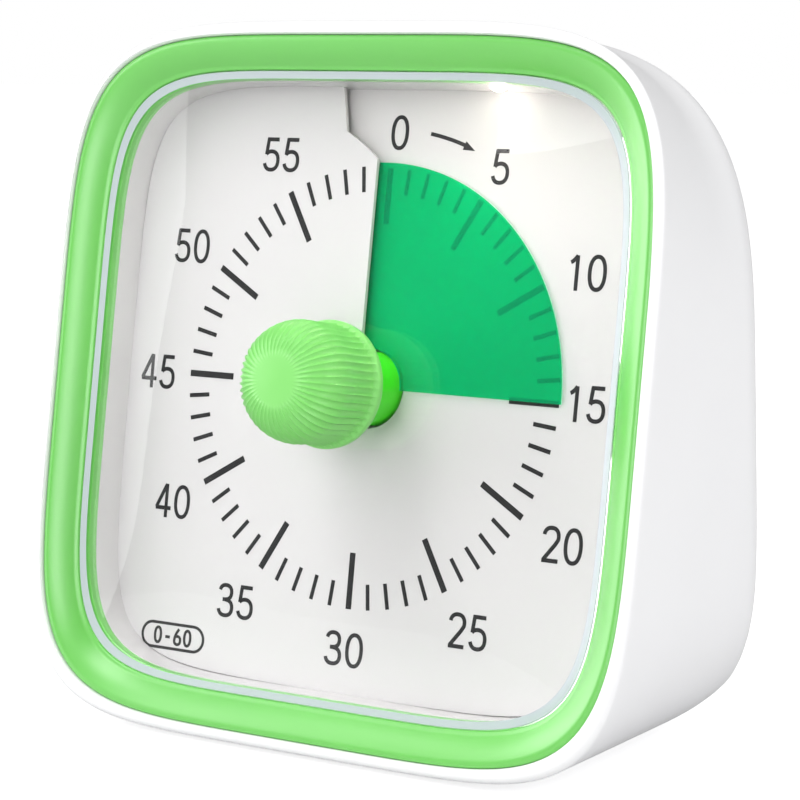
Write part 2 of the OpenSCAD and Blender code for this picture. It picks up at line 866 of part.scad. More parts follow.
// Bores for the spindle and the arbors, at a level
module arbor_bores(level, h) {
    translate([0, 0, level]) {
        cylinder(r = spindle_r + running, h = h);
        for (p = [third_at, fourth_at, rotor_at])
            translate([p[0], p[1], 0]) cylinder(r = arbor_r + running, h = h);
    }
}

module movement_plate() {
    color("ivory") in_dial() difference() {
        translate([-case_half, -case_half, case_front - case_wall])
            cube([2 * case_half, 2 * case_half, case_wall]);
        arbor_bores(case_front - case_wall - cut, case_wall + 2 * cut);
        at_case_screws() translate([0, 0, case_front - case_wall - cut])
            cylinder(r = screw_r + screw_clear, h = case_wall + 2 * cut);
    }
}

module movement_cover() {
    inner = case_half - case_wall;
    color("ivory") in_dial() difference() {
        union() {
            difference() {
                translate([-case_half, -case_half, case_back])
                    cube([2 * case_half, 2 * case_half, case_depth - case_wall - seat]);
                translate([-inner, -inner, case_back + case_wall])
                    cube([2 * inner, 2 * inner, case_depth]);
            }
            at_case_screws() translate([0, 0, case_back])
                cylinder(r = boss_r, h = case_depth - case_wall - seat);
        }
        arbor_bores(case_back - cut, case_wall + 2 * cut);
        at_case_screws() translate([0, 0, case_back - cut]) {
            cylinder(r = screw_r + screw_clear, h = case_depth + 2 * cut);
            cylinder(r = screw_head_r + screw_clear, h = cut + screw_head_t);
        }
    }
}

module movement_screws() {
    color("silver") in_dial() at_case_screws() {
        translate([0, 0, case_back]) cylinder(r = screw_head_r, h = screw_head_t - seat);
        translate([0, 0, case_back + screw_head_t / 2])
            cylinder(r = screw_r, h = well_bottom - screw_short - case_back - screw_head_t / 2);
    }
}

module stator() {
    color("silver") in_dial() translate([rotor_at[0], rotor_at[1], stator_level])
        difference() {
            union() {
                translate([-stator_half, -stator_half, 0])
                    cube([2 * stator_half, 2 * stator_half, stator_t]);
                for (u = [-stator_half, stator_half - stator_leg])
                    translate([u, -coil_drop, 0]) cube([stator_leg, coil_drop, stator_t]);
                translate([-stator_half, -coil_drop - stator_leg, 0])
                    cube([2 * stator_half + coil_l + stator_leg, stator_leg, stator_t]);
            }
            translate([0, 0, -cut]) cylinder(r = rotor_r + clear, h = stator_t + 2 * cut);
        }
}

module coil() {
    color("peru") in_dial()
        translate([rotor_at[0] + stator_half + seat, rotor_at[1] - coil_drop - stator_leg / 2,
            stator_level + stator_t / 2])
            rotate([0, 90, 0]) difference() {
                cylinder(r = coil_r, h = coil_l);
                translate([-stator_t / 2 - seat, -stator_leg / 2 - seat, -cut])
                    cube([stator_t + 2 * seat, stator_leg + 2 * seat, coil_l + 2 * cut]);
            }
}

module alarm_contact() {
    level = cam_level + contact_rise;
    color("goldenrod") in_dial() translate([contact_u, -contact_w / 2, level]) {
        cube([contact_l, contact_w, contact_t]);
        translate([0, 0, contact_t])
            cube([contact_foot, contact_w, case_front - case_wall - seat - level - contact_t]);
    }
}

// ---- Electronics and power ----

module circuit_board() {
    color("seagreen") in_back() difference() {
        back_box([-board_w / 2, board_y - board_t, board_z - board_h / 2],
            [board_w / 2, board_y, board_z + board_h / 2]);
        at_board_bosses() translate([0, 0, -board_y - cut])
            cylinder(r = screw_r + screw_clear, h = board_t + 2 * cut);
    }
}

module board_screws() {
    color("silver") in_back() at_board_bosses() {
        translate([0, 0, -board_y + board_t + seat]) cylinder(r = screw_head_r, h = screw_head_t);
        translate([0, 0, -board_y - board_screw_l])
            cylinder(r = screw_r, h = board_screw_l + board_t + 2 * seat);
    }
}

module timer_chip() {
    color("dimgray") in_back()
        back_box([-chip_half, board_y - board_t - seat - chip_t, board_z - 2 * chip_half],
            [chip_half, board_y - board_t - seat, board_z]);
}

module crystal() {
    color("silver") in_back()
        translate([crystal_x, board_y - board_t - seat - crystal_r, board_z - crystal_l])
            cylinder(r = crystal_r, h = crystal_l);
}

module buzzer() {
    color("dimgray") in_back() translate([0, board_y + seat + buzzer_h, buzzer_z]) rotate([90, 0, 0])
        difference() {
            cylinder(r = buzzer_r, h = buzzer_h);
            translate([0, 0, -cut]) cylinder(r = buzzer_hole_r, h = cut + buzzer_hole_d);
        }
}

module volume_switch() {
    slot_half = tongue_half + clear;
    color("silver") in_back() difference() {
        back_box([-switch_x - switch_over, board_y + seat, switch_z - switch_half_h],
            [-switch_x + slider_travel + switch_over, -back_wall - switch_gap, switch_z + switch_half_h]);
        back_box([-switch_x - slot_half, -back_wall - tongue_l - tongue_spare, switch_z - slot_half],
            [-switch_x + slot_half + slider_travel, 0, switch_z + slot_half]);
    }
}

module volume_slider() {
    color("lightgreen") in_back() {
        back_box([-switch_x - slider_w / 2, -back_wall, switch_z - slider_h / 2],
            [-switch_x + slider_w / 2, slider_show, switch_z + slider_h / 2]);
        back_box([-switch_x - tongue_half, -back_wall - tongue_l, switch_z - tongue_half],
            [-switch_x + tongue_half, -back_wall, switch_z + tongue_half]);
    }
}

module light_switch() {
    color("dimgray") in_back()
        back_box([switch_x - light_switch_half, board_y + seat, switch_z - light_switch_half],
            [switch_x + light_switch_half, -switch_face, switch_z + light_switch_half]);
}

module light_button() {
    color("lightgreen") in_back() translate([switch_x, 0, switch_z]) {
        translate([0, button_show, 0]) rotate([90, 0, 0])
            cylinder(r = button_r, h = button_show + back_wall + button_stop + button_flange_t);
        translate([0, -back_wall - button_stop, 0]) rotate([90, 0, 0])
            cylinder(r = button_r + button_flange, h = button_flange_t);
        translate([0, -back_wall - button_stop, 0]) rotate([90, 0, 0])
            cylinder(r = button_rod_r, h = switch_face - back_wall - button_stop - button_travel - rod_gap);
    }
}

module battery_box() {
    color("white") in_back() difference() {
        back_box([-bay_w / 2 - box_wall, -back_wall - bay_d - box_wall, bay_z - bay_h / 2 - box_wall],
            [bay_w / 2 + box_wall, -back_wall - seat, bay_z + bay_h / 2 + box_wall]);
        back_box([-bay_w / 2, -back_wall - bay_d, bay_z - bay_h / 2],
            [bay_w / 2, 0, bay_z + bay_h / 2]);
    }
}

module cells() {
    color("silver") in_back() for (s = [-1, 1])
        translate([-cell_l / 2, -back_wall - cell_drop - cell_r, bay_z + s * (cell_r + cell_gap / 2)])
            rotate([0, 90, 0]) cylinder(r = cell_r, h = cell_l);
}

module battery_contacts() {
    color("silver") in_back() for (sx = [-1, 1], sz = [-1, 1])
        translate([sx * (bay_w / 2 - leaf_t / 2 - seat), -back_wall - cell_drop - cell_r,
            bay_z + sz * (cell_r + cell_gap / 2)]) {
            cube([leaf_t, leaf_w, leaf_w], center = true);
            translate([-sx * (contact_room - seat) / 2, 0, 0]) rotate([0, 90, 0])
                cylinder(r = leaf_boss_r, h = contact_room - 2 * leaf_t - seat, center = true);
        }
}

module battery_door() {
    low = bay_z - bay_h / 2 + door_gap;
    color("white") in_back() difference() {
        union() {
            back_box([-bay_w / 2 + door_gap, -door_t, low + door_t / 2],
                [bay_w / 2 - door_gap, 0, bay_z + bay_h / 2 - door_gap]);
            translate([0, -door_t / 2, low + door_t / 2]) rotate([0, 90, 0]) {
                cylinder(r = door_t / 2, h = bay_w - 2 * door_gap, center = true);
                cylinder(r = door_pin_r, h = bay_w + 2 * door_pin_l, center = true);
            }
        }
        translate([0, notch_out, bay_z + bay_h / 2 - door_gap - notch_in]) rotate([0, 90, 0])
            cylinder(r = notch_r, h = notch_l, center = true);
    }
}

module led_board() {
    color("seagreen") in_dial()
        translate([led_u - led_board_w / 2, led_board_v, led_w - led_board_d / 2])
            cube([led_board_w, board_t, led_board_d]);
}

module led() {
    top = led_board_v - seat;
    color("lightyellow") in_dial() translate([led_u, top, led_w]) rotate([90, 0, 0]) {
        cylinder(r = led_flange_r, h = led_flange_t);
        cylinder(r = led_r, h = top - well_top + led_show - led_r);
        translate([0, 0, top - well_top + led_show - led_r]) sphere(r = led_r);
    }
}

// A point on a smooth curve between b and c, a and d being their neighbours
function blend_point(a, b, c, d, t) =
    0.5 * (2 * b + (c - a) * t + (2 * a - 5 * b + 4 * c - d) * t * t + (3 * b - a - 3 * c + d) * t * t * t);

// Points along a route, lead_steps to each stretch
function smooth_route(p) = concat(
    [for (k = [0 : len(p) - 2], s = [0 : lead_steps - 1])
        blend_point(p[max(k - 1, 0)], p[k], p[k + 1], p[min(k + 2, len(p) - 1)], s / lead_steps)],
    [p[len(p) - 1]]);

// A round lead swept along a route that stays in one plane across x
module lead(route) {
    path = smooth_route(route);
    last = len(path) - 1;
    loft([for (k = [last : -1 : 0])
        let (d = path[min(k + 1, last)] - path[max(k - 1, 0)],
            along = d / norm(d),
            side = [0, along[2], -along[1]])
        [for (i = [0 : lead_sides - 1]) let (a = i * 360 / lead_sides)
            path[k] + lead_r * cos(a) * [1, 0, 0] + lead_r * sin(a) * side]]);
}

module led_leads() {
    color("firebrick") for (s = [-1, 1]) let (u = led_u + s * lead_spread)
        lead([
            from_dial(u, lead_v, led_w - led_board_d / 2 - seat),
            from_dial(u, lead_v, led_w - led_board_d / 2 - lead_start),
            from_dial(u, lead_v, lead_straight_w),
            from_dial(u, lead_v - lead_bend[0], -lead_bend[1]),
            from_dial(u, lead_v - lead_fall[0], -lead_fall[1]),
            from_back(u, board_y - board_t - lead_start, board_z + board_h / 2 - lead_in),
            from_back(u, board_y - board_t - lead_gap, board_z + board_h / 2 - lead_in)
        ]);
}

housing();
bezel();
lens();
dial_well();
dial_plate();
chassis();
chassis_screws();
base_pad();
film_disc();
knob();
hub();
spindle();
spindle_wheel();
alarm_cam();
third_wheel();
fourth_wheel();
rotor();
movement_plate();
movement_cover();
movement_screws();
stator();
coil();
alarm_contact();
circuit_board();
board_screws();
timer_chip();
crystal();
buzzer();
led_board();
led();
led_leads();
battery_box();
cells();
battery_contacts();
battery_door();
volume_switch();
volume_slider();
light_switch();
light_button();
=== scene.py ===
import math

import bpy
import bmesh
import numpy as np
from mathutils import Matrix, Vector


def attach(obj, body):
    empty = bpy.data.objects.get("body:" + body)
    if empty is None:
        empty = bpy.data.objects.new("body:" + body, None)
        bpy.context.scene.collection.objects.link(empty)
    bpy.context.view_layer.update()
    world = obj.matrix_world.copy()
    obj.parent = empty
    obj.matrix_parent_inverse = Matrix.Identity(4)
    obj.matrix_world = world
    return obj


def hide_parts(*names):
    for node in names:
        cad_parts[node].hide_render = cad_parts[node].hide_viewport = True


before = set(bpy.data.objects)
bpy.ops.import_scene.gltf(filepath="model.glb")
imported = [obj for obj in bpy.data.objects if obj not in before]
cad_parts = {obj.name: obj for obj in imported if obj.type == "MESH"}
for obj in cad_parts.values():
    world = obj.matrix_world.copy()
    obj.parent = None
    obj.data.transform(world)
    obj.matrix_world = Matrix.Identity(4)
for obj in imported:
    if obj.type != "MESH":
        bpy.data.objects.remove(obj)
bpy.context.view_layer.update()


# ---- The photograph's view ----
# The camera stands 34.1 degrees round to the right of the front and 7.5 above the level, a little over
# 0.3 m away, with a long lens. Its axis passes through the middle of the picture, so nothing is shifted.
camera_at = (0.18057, -0.26867, 0.08103)
camera_turn, camera_rise = math.radians(34.107), math.radians(7.522)
camera_data = bpy.data.cameras.new("photo_camera")
camera_data.lens, camera_data.sensor_width = 125.39, 36
camera = bpy.data.objects.new("photo_camera", camera_data)
camera_back = Vector((math.sin(camera_turn) * math.cos(camera_rise),
                      -math.cos(camera_turn) * math.cos(camera_rise), math.sin(camera_rise)))
camera.location = camera_at
camera.rotation_mode = "QUATERNION"
camera.rotation_quaternion = (-camera_back).to_track_quat("-Z", "Y")
bpy.context.scene.collection.objects.link(camera)
bpy.context.scene.camera = camera
bpy.context.scene.view_settings.view_transform = "Standard"


# ---- Housing ----
# One white ABS moulding: a narrow rounded rim round the bezel, sides that taper back, and a softly rounded
# back with the battery bay's mouth, the sound holes and the openings for the slider and the button. It is
# moulded in a fine satin texture, so highlights on it are broad and soft.
LEAN, BACK_LEAN = math.radians(9), math.radians(3.4)
DIAL_FRONT, BACK_DEPTH, PAD_SHOW = 8.4, 33.3, 0.6
rim_half_w, rim_top, rim_bottom, rim_w, rim_round, rim_roll, rim_dip = 41, 41, 41.7, 8.7, 0.9, 0.25, 0.55
back_half_w, back_half_h, back_round_w, back_round_d, back_rise = 37.6, 40.2, 10.3, 15.4, 1.2
wall, back_wall, ledge_w, seat_gap, blend = 1.5, 2, 4.45, 0.05, 0.32
bezel_half_w, bezel_top, bezel_bottom, bezel_power = 39.9, 39.4, 40.3, 5.2
rim_power_top, rim_power_bottom, back_power_top, back_power_bottom = 4.8, 5.65, 3.4, 6.5
DIAL_Z = PAD_SHOW + rim_bottom * math.cos(LEAN) - (rim_w - rim_round) * math.sin(LEAN)
BACK_Y, BACK_Z = BACK_DEPTH - DIAL_FRONT, DIAL_Z + back_rise
AROUND = 320


def on_front(u, v, w):
    """A point of the leaning front in metres: u right, v up and w out of the dial, in mm."""
    u, v, w = np.broadcast_arrays(u, v, w)
    return np.stack([u, -DIAL_FRONT + v * math.sin(LEAN) - w * math.cos(LEAN),
                     DIAL_Z + v * math.cos(LEAN) + w * math.sin(LEAN)], -1) / 1000


def on_back(x, y, z):
    """A point of the leaning back in metres: x right seen from the front, y out of it and z up it in mm."""
    x, y, z = np.broadcast_arrays(x, y, z)
    return np.stack([x, BACK_Y + y * math.cos(BACK_LEAN) - z * math.sin(BACK_LEAN),
                     BACK_Z + y * math.sin(BACK_LEAN) + z * math.cos(BACK_LEAN)], -1) / 1000


def outline(angle, half_w, top, bottom, power_top, power_bottom):
    """Superellipse by polar angle: |x / half_w|^n + |y / height|^n = 1, height and n by half."""
    c, s = np.cos(angle), np.sin(angle)
    power = np.where(s > 0, power_top, power_bottom)
    height = np.where(s > 0, top, bottom)
    reach = (np.abs(c) ** power + np.abs(s) ** power) ** (-1 / power)
    return half_w * reach * c, height * reach * s


angles = np.arange(AROUND) * 2 * math.pi / AROUND


def front_ring(inset, w, half_w, top, bottom, power_top, power_bottom):
    """An outline of the front drawn in by inset at level w."""
    return on_front(*outline(angles, half_w - inset, top - inset, bottom - inset, power_top, power_bottom), w)


def rim_ring(inset, w):
    """The rim's outline drawn in by inset at level w."""
    return front_ring(inset, w, rim_half_w, rim_top, rim_bottom, rim_power_top, rim_power_bottom)


def bezel_ring(inset, w):
    """The bezel's outer outline drawn in by inset at level w."""
    return front_ring(inset, w, bezel_half_w, bezel_top, bezel_bottom, bezel_power, bezel_power)


def back_ring(inset, depth):
    """The back's outline drawn in by inset at a depth inside the back face."""
    side, height = back_half_w - inset, back_half_h - inset
    x, z = outline(angles, side, height, height, back_power_top, back_power_bottom)
    return on_back(x, -np.asarray(depth, float), z)


def quads(rows, cols, close_rows=False, close_cols=True):
    """Quads between neighbouring points of a grid numbered row by row, closed on itself where asked."""
    r, c = np.meshgrid(np.arange(rows - (not close_rows)), np.arange(cols - (not close_cols)), indexing="ij")
    here, below, beside = r * cols, (r + 1) % rows * cols, (c + 1) % cols
    return np.stack([here + c, here + beside, below + beside, below + c], -1).reshape(-1, 4)


def make_piece(name, points, faces, materials, body, replaced=(), material_of=None, sharp=35):
    """A mesh piece from points in metres and faces by number, riding on a body in place of its CAD nodes.
    Faces are smooth, apart from edges that turn by more than sharp degrees."""
    mesh = bpy.data.meshes.new(name)
    mesh.from_pydata(np.asarray(points, float).reshape(-1, 3).tolist(), [],
                     [list(map(int, f)) for f in faces])
    for material in materials:
        mesh.materials.append(material)
    if material_of is not None:
        mesh.polygons.foreach_set("material_index", np.asarray(material_of, np.int32))
    mesh.polygons.foreach_set("use_smooth", np.ones(len(mesh.polygons), bool))
    if sharp:
        mesh.set_sharp_from_angle(angle=math.radians(sharp))
    piece = bpy.data.objects.new(name, mesh)
    bpy.context.scene.collection.objects.link(piece)
    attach(piece, body)
    if replaced:
        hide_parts(*replaced)
    return piece


def linear(colour):
    """A colour written as sRGB hex, turned to linear light."""
    share = np.array([int(colour[k:k + 2], 16) for k in (1, 3, 5)]) / 255
    return (*np.where(share <= 0.04045, share / 12.92, ((share + 0.055) / 1.055) ** 2.4), 1.0)


def add_node(material, kind, settings=(), links=()):
    """Adds one node to a material, sets what is given by socket or property name, and links sockets to it."""
    node = material.node_tree.nodes.new(kind)
    for key, value in dict(settings).items():
        if key in node.inputs:
            node.inputs[key].default_value = value
        else:
            setattr(node, key, value)
    for socket, source in dict(links).items():
        material.node_tree.links.new(source, node.inputs[socket])
    return node


def new_material(name, **settings):
    """A material, its Principled BSDF set by socket name with _ for a space, and Object coordinates."""
    material = bpy.data.materials.new(name)
    material.use_nodes = True
    shader = material.node_tree.nodes["Principled BSDF"]
    for key, value in settings.items():
        shader.inputs[key.replace("_", " ")].default_value = value
    return material, shader, add_node(material, "ShaderNodeTexCoord").outputs["Object"]


def wire(material, shader, **sources):
    """Links sources to a shader's sockets, named with _ for a space."""
    for socket, source in sources.items():
        material.node_tree.links.new(source, shader.inputs[socket.replace("_", " ")])
    return material


def moulded_plastic(name, colour, roughness, grain_mm=0.25, depth_mm=0.004, tone=0.03, **settings):
    """Injection-moulded plastic: a body colour that varies a little over centimetres, and a fine spark-eroded
    grain of the given size that bends the highlight and varies its sharpness."""
    material, shader, where = new_material(name, **{"IOR": 1.53, **settings})
    cloud = add_node(material, "ShaderNodeTexNoise", {"Scale": 1000 / 18, "Detail": 2}, {"Vector": where})
    shade = add_node(material, "ShaderNodeValToRGB", {}, {"Fac": cloud.outputs["Fac"]})
    base = np.array(linear(colour))[:3]
    for stop, share in zip(shade.color_ramp.elements, (1 - tone, 1 + tone)):
        stop.color = (*np.minimum(base * share, 1), 1)
    grain = add_node(material, "ShaderNodeTexNoise", {"Scale": 1000 / grain_mm, "Detail": 1},
                     {"Vector": where})
    sheen = add_node(material, "ShaderNodeMapRange", {"To Min": roughness * 0.85, "To Max": roughness * 1.15},
                     {"Value": grain.outputs["Fac"]})
    bump = add_node(material, "ShaderNodeBump", {"Strength": 0.35, "Distance": depth_mm / 1000},
                    {"Height": grain.outputs["Fac"]})
    return wire(material, shader, Base_Color=shade.outputs["Color"], Roughness=sheen.outputs["Result"],
                Normal=bump.outputs["Normal"])


def mixed(first, second, share):
    """Points a share of the way from one ring to another."""
    return first + (second - first) * share


def loop_edge(centre_x, centre_z, half_w, half_h, corner, grow, depth, count=32):
    """A rounded rectangle or circle on the back: half sizes less a corner radius, plus the corner's arc."""
    turn = np.arange(count) * 2 * math.pi / count + math.pi / count
    x = centre_x + np.sign(np.cos(turn)) * (half_w - corner) + (corner + grow) * np.cos(turn)
    z = centre_z + np.sign(np.sin(turn)) * (half_h - corner) + (corner + grow) * np.sin(turn)
    return on_back(x, -depth, z)


bay_w, bay_h, bay_z, bay_corner, switch_x, switch_z, sound_z = 47.7, 22.2, -11, 0.4, 15, 17, 18
slider_run, slider_hole_w, slider_hole_h, slider_corner, button_hole = 4, 3.8, 1.5, 0.3, 3.3
sound_hole, sound_ring, sound_count, edge_turn = 0.6, 3, 6, 0.25
openings = [(0, bay_z, bay_w / 2, bay_h / 2, bay_corner, 32),
            (-switch_x + slider_run / 2, switch_z, slider_hole_w, slider_hole_h, slider_corner, 32),
            (switch_x, switch_z, button_hole, button_hole, button_hole, 48),
            (0, sound_z, sound_hole, sound_hole, sound_hole, 24)]
openings += [(sound_ring * math.cos(a), sound_z + sound_ring * math.sin(a), *[sound_hole] * 3, 24)
             for a in np.arange(sound_count) * 2 * math.pi / sound_count]


def housing_mesh():
    """The shell as one closed skin. Rows run from the ledge up the bezel's seat, over the rounded rim, back
    along the sides, round the back's quarter ellipse to its flat, and again inside at the wall's depth. The
    two flats are filled round the openings, whose edges turn in by a quarter of a millimetre."""
    seat, rim = bezel_ring(-seat_gap - rim_roll, rim_w), rim_ring(0, rim_w)
    centre = on_front(0, 0, rim_w)
    room = np.linalg.norm(rim - centre, axis=1) - np.linalg.norm(seat - centre, axis=1)
    start = np.arcsin(np.clip(1 - room * 1000 / rim_round, 0, 1))[:, None]
    rows = [bezel_ring(-seat_gap, ledge_w)]
    into = on_front(0, 0, -1) - on_front(0, 0, 0)
    rows += [bezel_ring(-seat_gap - rim_roll * (1 - math.cos(a)), rim_w - rim_dip * (1 - math.sin(a)))
             for a in np.linspace(0, math.pi / 2, 5)]
    for k in np.linspace(0, 1, 8):
        a = start + (math.pi / 2 - start) * k
        inset = 1 - np.sin(a)
        rows.append(mixed(rim, rim_ring(rim_round, rim_w), inset) + into * rim_round * (1 - np.cos(a)))
    side_front, side_back = rim_ring(0, rim_w - rim_round), back_ring(0, back_round_d)
    rows += [mixed(side_front, side_back, t) for t in (0.03, 0.25, 0.5, 0.72)]
    near = mixed(side_front, side_back, 0.8)
    far = back_ring(back_round_w * (1 - math.cos(blend)), back_round_d * (1 - math.sin(blend)))
    rows += [mixed(mixed(near, side_back, t), mixed(side_back, far, t), t) for t in np.linspace(0, 1, 8)]
    for a in np.linspace(blend, math.pi / 2, 15)[1:]:
        rows.append(back_ring(back_round_w * (1 - math.cos(a)), back_round_d * (1 - math.sin(a))))
    outer_rows = len(rows)
    for a in np.linspace(math.pi / 2, 0, 6):
        rows.append(back_ring(wall + back_round_w * (1 - math.cos(a)),
                              back_wall + back_round_d * (1 - math.sin(a))))
    rows.append(rim_ring(wall + 0.1, ledge_w))
    points = np.concatenate(rows)
    faces = quads(len(rows), AROUND, close_rows=True)
    flat_row = np.arange(AROUND) + (outer_rows - 1) * AROUND
    keep = ~np.isin(faces[:, 0], flat_row)
    faces = [list(f) for f in faces[keep]]
    bm = bmesh.new()
    mesh_points = [bm.verts.new(p) for p in points]
    bm.verts.ensure_lookup_table()
    for f in faces:
        bm.faces.new([mesh_points[i] for i in f])
    outside, inside = ([bm.edges.get((mesh_points[row[i]], mesh_points[row[(i + 1) % AROUND]]))
                        for i in range(AROUND)] for row in (flat_row, flat_row + AROUND))
    for x, z, half_w, half_h, corner, count in openings:
        rings = [loop_edge(x, z, half_w, half_h, corner, g, d, count)
                 for g, d in ((edge_turn, 0), (0.07, 0.07), (0, edge_turn), (0, back_wall))]
        rings = [[bm.verts.new(p) for p in ring] for ring in rings]
        for ring, deeper in zip(rings, rings[1:]):
            for i in range(count):
                j = (i + 1) % count
                bm.faces.new([ring[i], ring[j], deeper[j], deeper[i]])
        outside += [bm.edges.get((rings[0][i], rings[0][(i + 1) % count])) for i in range(count)]
        inside += [bm.edges.get((rings[-1][i], rings[-1][(i + 1) % count])) for i in range(count)]
    bmesh.ops.triangle_fill(bm, use_beauty=True, edges=outside)
    bmesh.ops.triangle_fill(bm, use_beauty=True, edges=inside)
    bmesh.ops.recalc_face_normals(bm, faces=bm.faces)
    return bm


white_abs = moulded_plastic("white_satin_abs", "#efeff0", 0.38, grain_mm=0.3, depth_mm=0.003, tone=0.012)
bm = housing_mesh()
mesh = bpy.data.meshes.new("housing_shell")
bm.to_mesh(mesh)
bm.free()
mesh.materials.append(white_abs)
mesh.polygons.foreach_set("use_smooth", np.ones(len(mesh.polygons), bool))
mesh.set_sharp_from_angle(angle=math.radians(30))
housing = bpy.data.objects.new("housing_shell", mesh)
bpy.context.scene.collection.objects.link(housing)
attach(housing, "case")
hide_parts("housing")


# ---- Bezel ----
# A frame of lime green ABS pressed into the rim. Its face is slightly crowned and slopes in to the window,
# where a shoulder carries the clear cover and a short skirt shows green through it. Semi-gloss.
window_half_w, window_top, window_bottom, window_power = 36, 35.6, 36.4, 5.8
window_w, bezel_w = 6.4, 8.3
skirt_in, skirt_w, shoulder_w, bezel_crown, bezel_lift = 0.85, 3.9, 5.1, 0.25, 0.02
bezel_round, bezel_round_d, window_round = 0.6, 0.3, 0.35


def window_ring(inset, w):
    """The window's outline drawn in by inset at level w."""
    return front_ring(inset, w, window_half_w, window_top, window_bottom, window_power, window_power)


bezel_rows = [bezel_ring(0, ledge_w + bezel_lift), bezel_ring(0, bezel_w - bezel_round_d)]
bezel_rows += [bezel_ring(bezel_round * (1 - math.cos(a)), bezel_w - bezel_round_d * (1 - math.sin(a)))
               for a in np.linspace(0, math.pi / 2, 7)[1:]]
face_outer, face_inner = bezel_ring(bezel_round, bezel_w), window_ring(-window_round, window_w)
out = on_front(0, 0, 1) - on_front(0, 0, 0)
bezel_rows += [mixed(face_outer, face_inner, s) + out * bezel_crown * 4 * s * (1 - s)
               for s in np.linspace(0, 1, 13)[1:]]
bezel_rows += [window_ring(-window_round * (1 - math.sin(a)), window_w - window_round * (1 - math.cos(a)))
               for a in np.linspace(0, math.pi / 2, 5)[1:]]
bezel_rows += [window_ring(inset, w) for inset, w in (
    (0, shoulder_w), (0.1, shoulder_w - 0.02), (skirt_in - 0.08, shoulder_w - 0.02),
    (skirt_in, shoulder_w - 0.1), (skirt_in, skirt_w), (-0.1, skirt_w), (-0.4, ledge_w + bezel_lift))]
lime_abs = moulded_plastic("lime_green_abs", "#5fc443", 0.4, grain_mm=0.25, depth_mm=0.002, tone=0.02,
                           Specular_IOR_Level=1.0, Coat_Weight=1.0, Coat_Roughness=0.35, Coat_IOR=1.5)
bezel_faces = quads(len(bezel_rows), AROUND, close_rows=True)[:, ::-1]
bezel = make_piece("bezel_frame", np.concatenate(bezel_rows), bezel_faces, [lime_abs], "case", ["bezel"])


# ---- Clear cover ----
# A flat window of clear polystyrene, 1.2 mm thick, glued on the bezel's shoulder, with a hole for the knob.
# Its border is a narrow sloped band, painted an even pale blue-grey as a painted reflection; the rest is
# polished.
lens_t, lens_front, lens_hole_r, lens_bevel, lens_mid_r = 1.2, 6.1, 4.9, 0.15, 12


def circle(radius, w, count=AROUND):
    """A ring of points round the dial's middle at level w."""
    turn = np.arange(count) * 2 * math.pi / count
    return on_front(radius * np.cos(turn), radius * np.sin(turn), w)


cover_rows = [circle(lens_hole_r, lens_front - lens_t), circle(lens_hole_r, lens_front - lens_bevel),
              circle(lens_hole_r + lens_bevel, lens_front), circle(lens_mid_r, lens_front)]
cover_rows += [window_ring(inset, w) for inset, w in (
    (skirt_in + 0.1, lens_front), (skirt_in, lens_front + 0.02), (0.15, window_w - 0.12),
    (0.08, window_w - 0.2), (0.08, shoulder_w + 0.02), (skirt_in, shoulder_w + 0.02))]
cover_rows.append(circle(lens_mid_r, lens_front - lens_t))
cover_faces = quads(len(cover_rows), AROUND, close_rows=True)[:, ::-1]
clear_styrene = new_material("clear_polished_styrene", Base_Color=linear("#fefefe"), Transmission_Weight=1.0,
                             IOR=1.45, Roughness=0.015)[0]
# The border's mostly opaque pale blue-grey is a painted reflection standing in for the light on the clear
# sloped band.
border_painted_reflection = moulded_plastic("styrene_border_painted_reflection", "#c3cad2", 0.22, grain_mm=0.4, depth_mm=0.003,
                                  Specular_IOR_Level=1.0, Transmission_Weight=0.15)
border = np.isin(np.arange(len(cover_rows)), (4, 5, 6))
cover = make_piece("clear_cover", np.concatenate(cover_rows), cover_faces, [clear_styrene, border_painted_reflection],
                   "case", ["lens"], material_of=np.repeat(border, AROUND).astype(int), sharp=20)
cover.visible_shadow = False


# ---- Dial well ----
# White ABS side walls between the cover and the dial, moulded as one ring and standing on the plate behind.
# They are glossier than the shell, so the green frame shows in them as a soft reflection.
well_in, well_wall, well_top, well_bottom = 0.85, 1, 3.88, -3
well_rows = [window_ring(well_in, w) for w in (well_bottom, -1, 1, 2.5, well_top - 0.1)]
well_rows += [window_ring(well_in - 0.1, well_top), window_ring(well_in - well_wall, well_top),
              window_ring(well_in - well_wall, well_bottom)]
glossy_abs = moulded_plastic("white_glossy_abs", "#d2cfd1", 0.22, grain_mm=0.5, depth_mm=0.002, tone=0.01)
well = make_piece("dial_well_wall", np.concatenate(well_rows), quads(len(well_rows), AROUND, close_rows=True),
                  [glossy_abs], "case", ["dial_well"])


# ---- Dial ----
# A sheet of matt white styrene, slit from the hub to its top edge. It rises 1.6 mm in one turn, so that the
# film can pass from under it at zero. The marks are screen-printed on it in black.
dial_t, ramp_start, ramp_rise, disc_r = 0.5, -0.95, 1.6, 26.15
dial_hole_r, lip_overlap, lip_offset, jog_from, jog_run, jog_end = 4.65, 16, 0.9, 26.45, 3.6, 10.6


def on_ramp(turn, radius, lift):
    """A point of the ramp at a clockwise turn in degrees from the top: w grows by ramp_rise a turn."""
    turn, radius, lift = np.broadcast_arrays(turn, radius, lift)
    a = np.radians(turn)
    return on_front(radius * np.sin(a), radius * np.cos(a), ramp_start + ramp_rise * turn / 360 + lift)


def sheet_mesh(top, bottom):
    """Points and faces of a closed sheet from the grids of its two sides, with a strip round its rim."""
    rows, cols = top.shape[:2]
    front = quads(rows, cols, close_cols=False)
    edge = np.concatenate([np.arange(cols), np.arange(1, rows) * cols + cols - 1,
                           np.arange(cols - 2, -1, -1) + (rows - 1) * cols,
                           np.arange(rows - 2, 0, -1) * cols])
    after = np.roll(edge, -1)
    rim = np.stack([edge, after, after + rows * cols, edge + rows * cols], -1)
    points = np.concatenate([top.reshape(-1, 3), bottom.reshape(-1, 3)])
    return points, np.concatenate([front[:, ::-1], front + rows * cols, rim]), len(front)


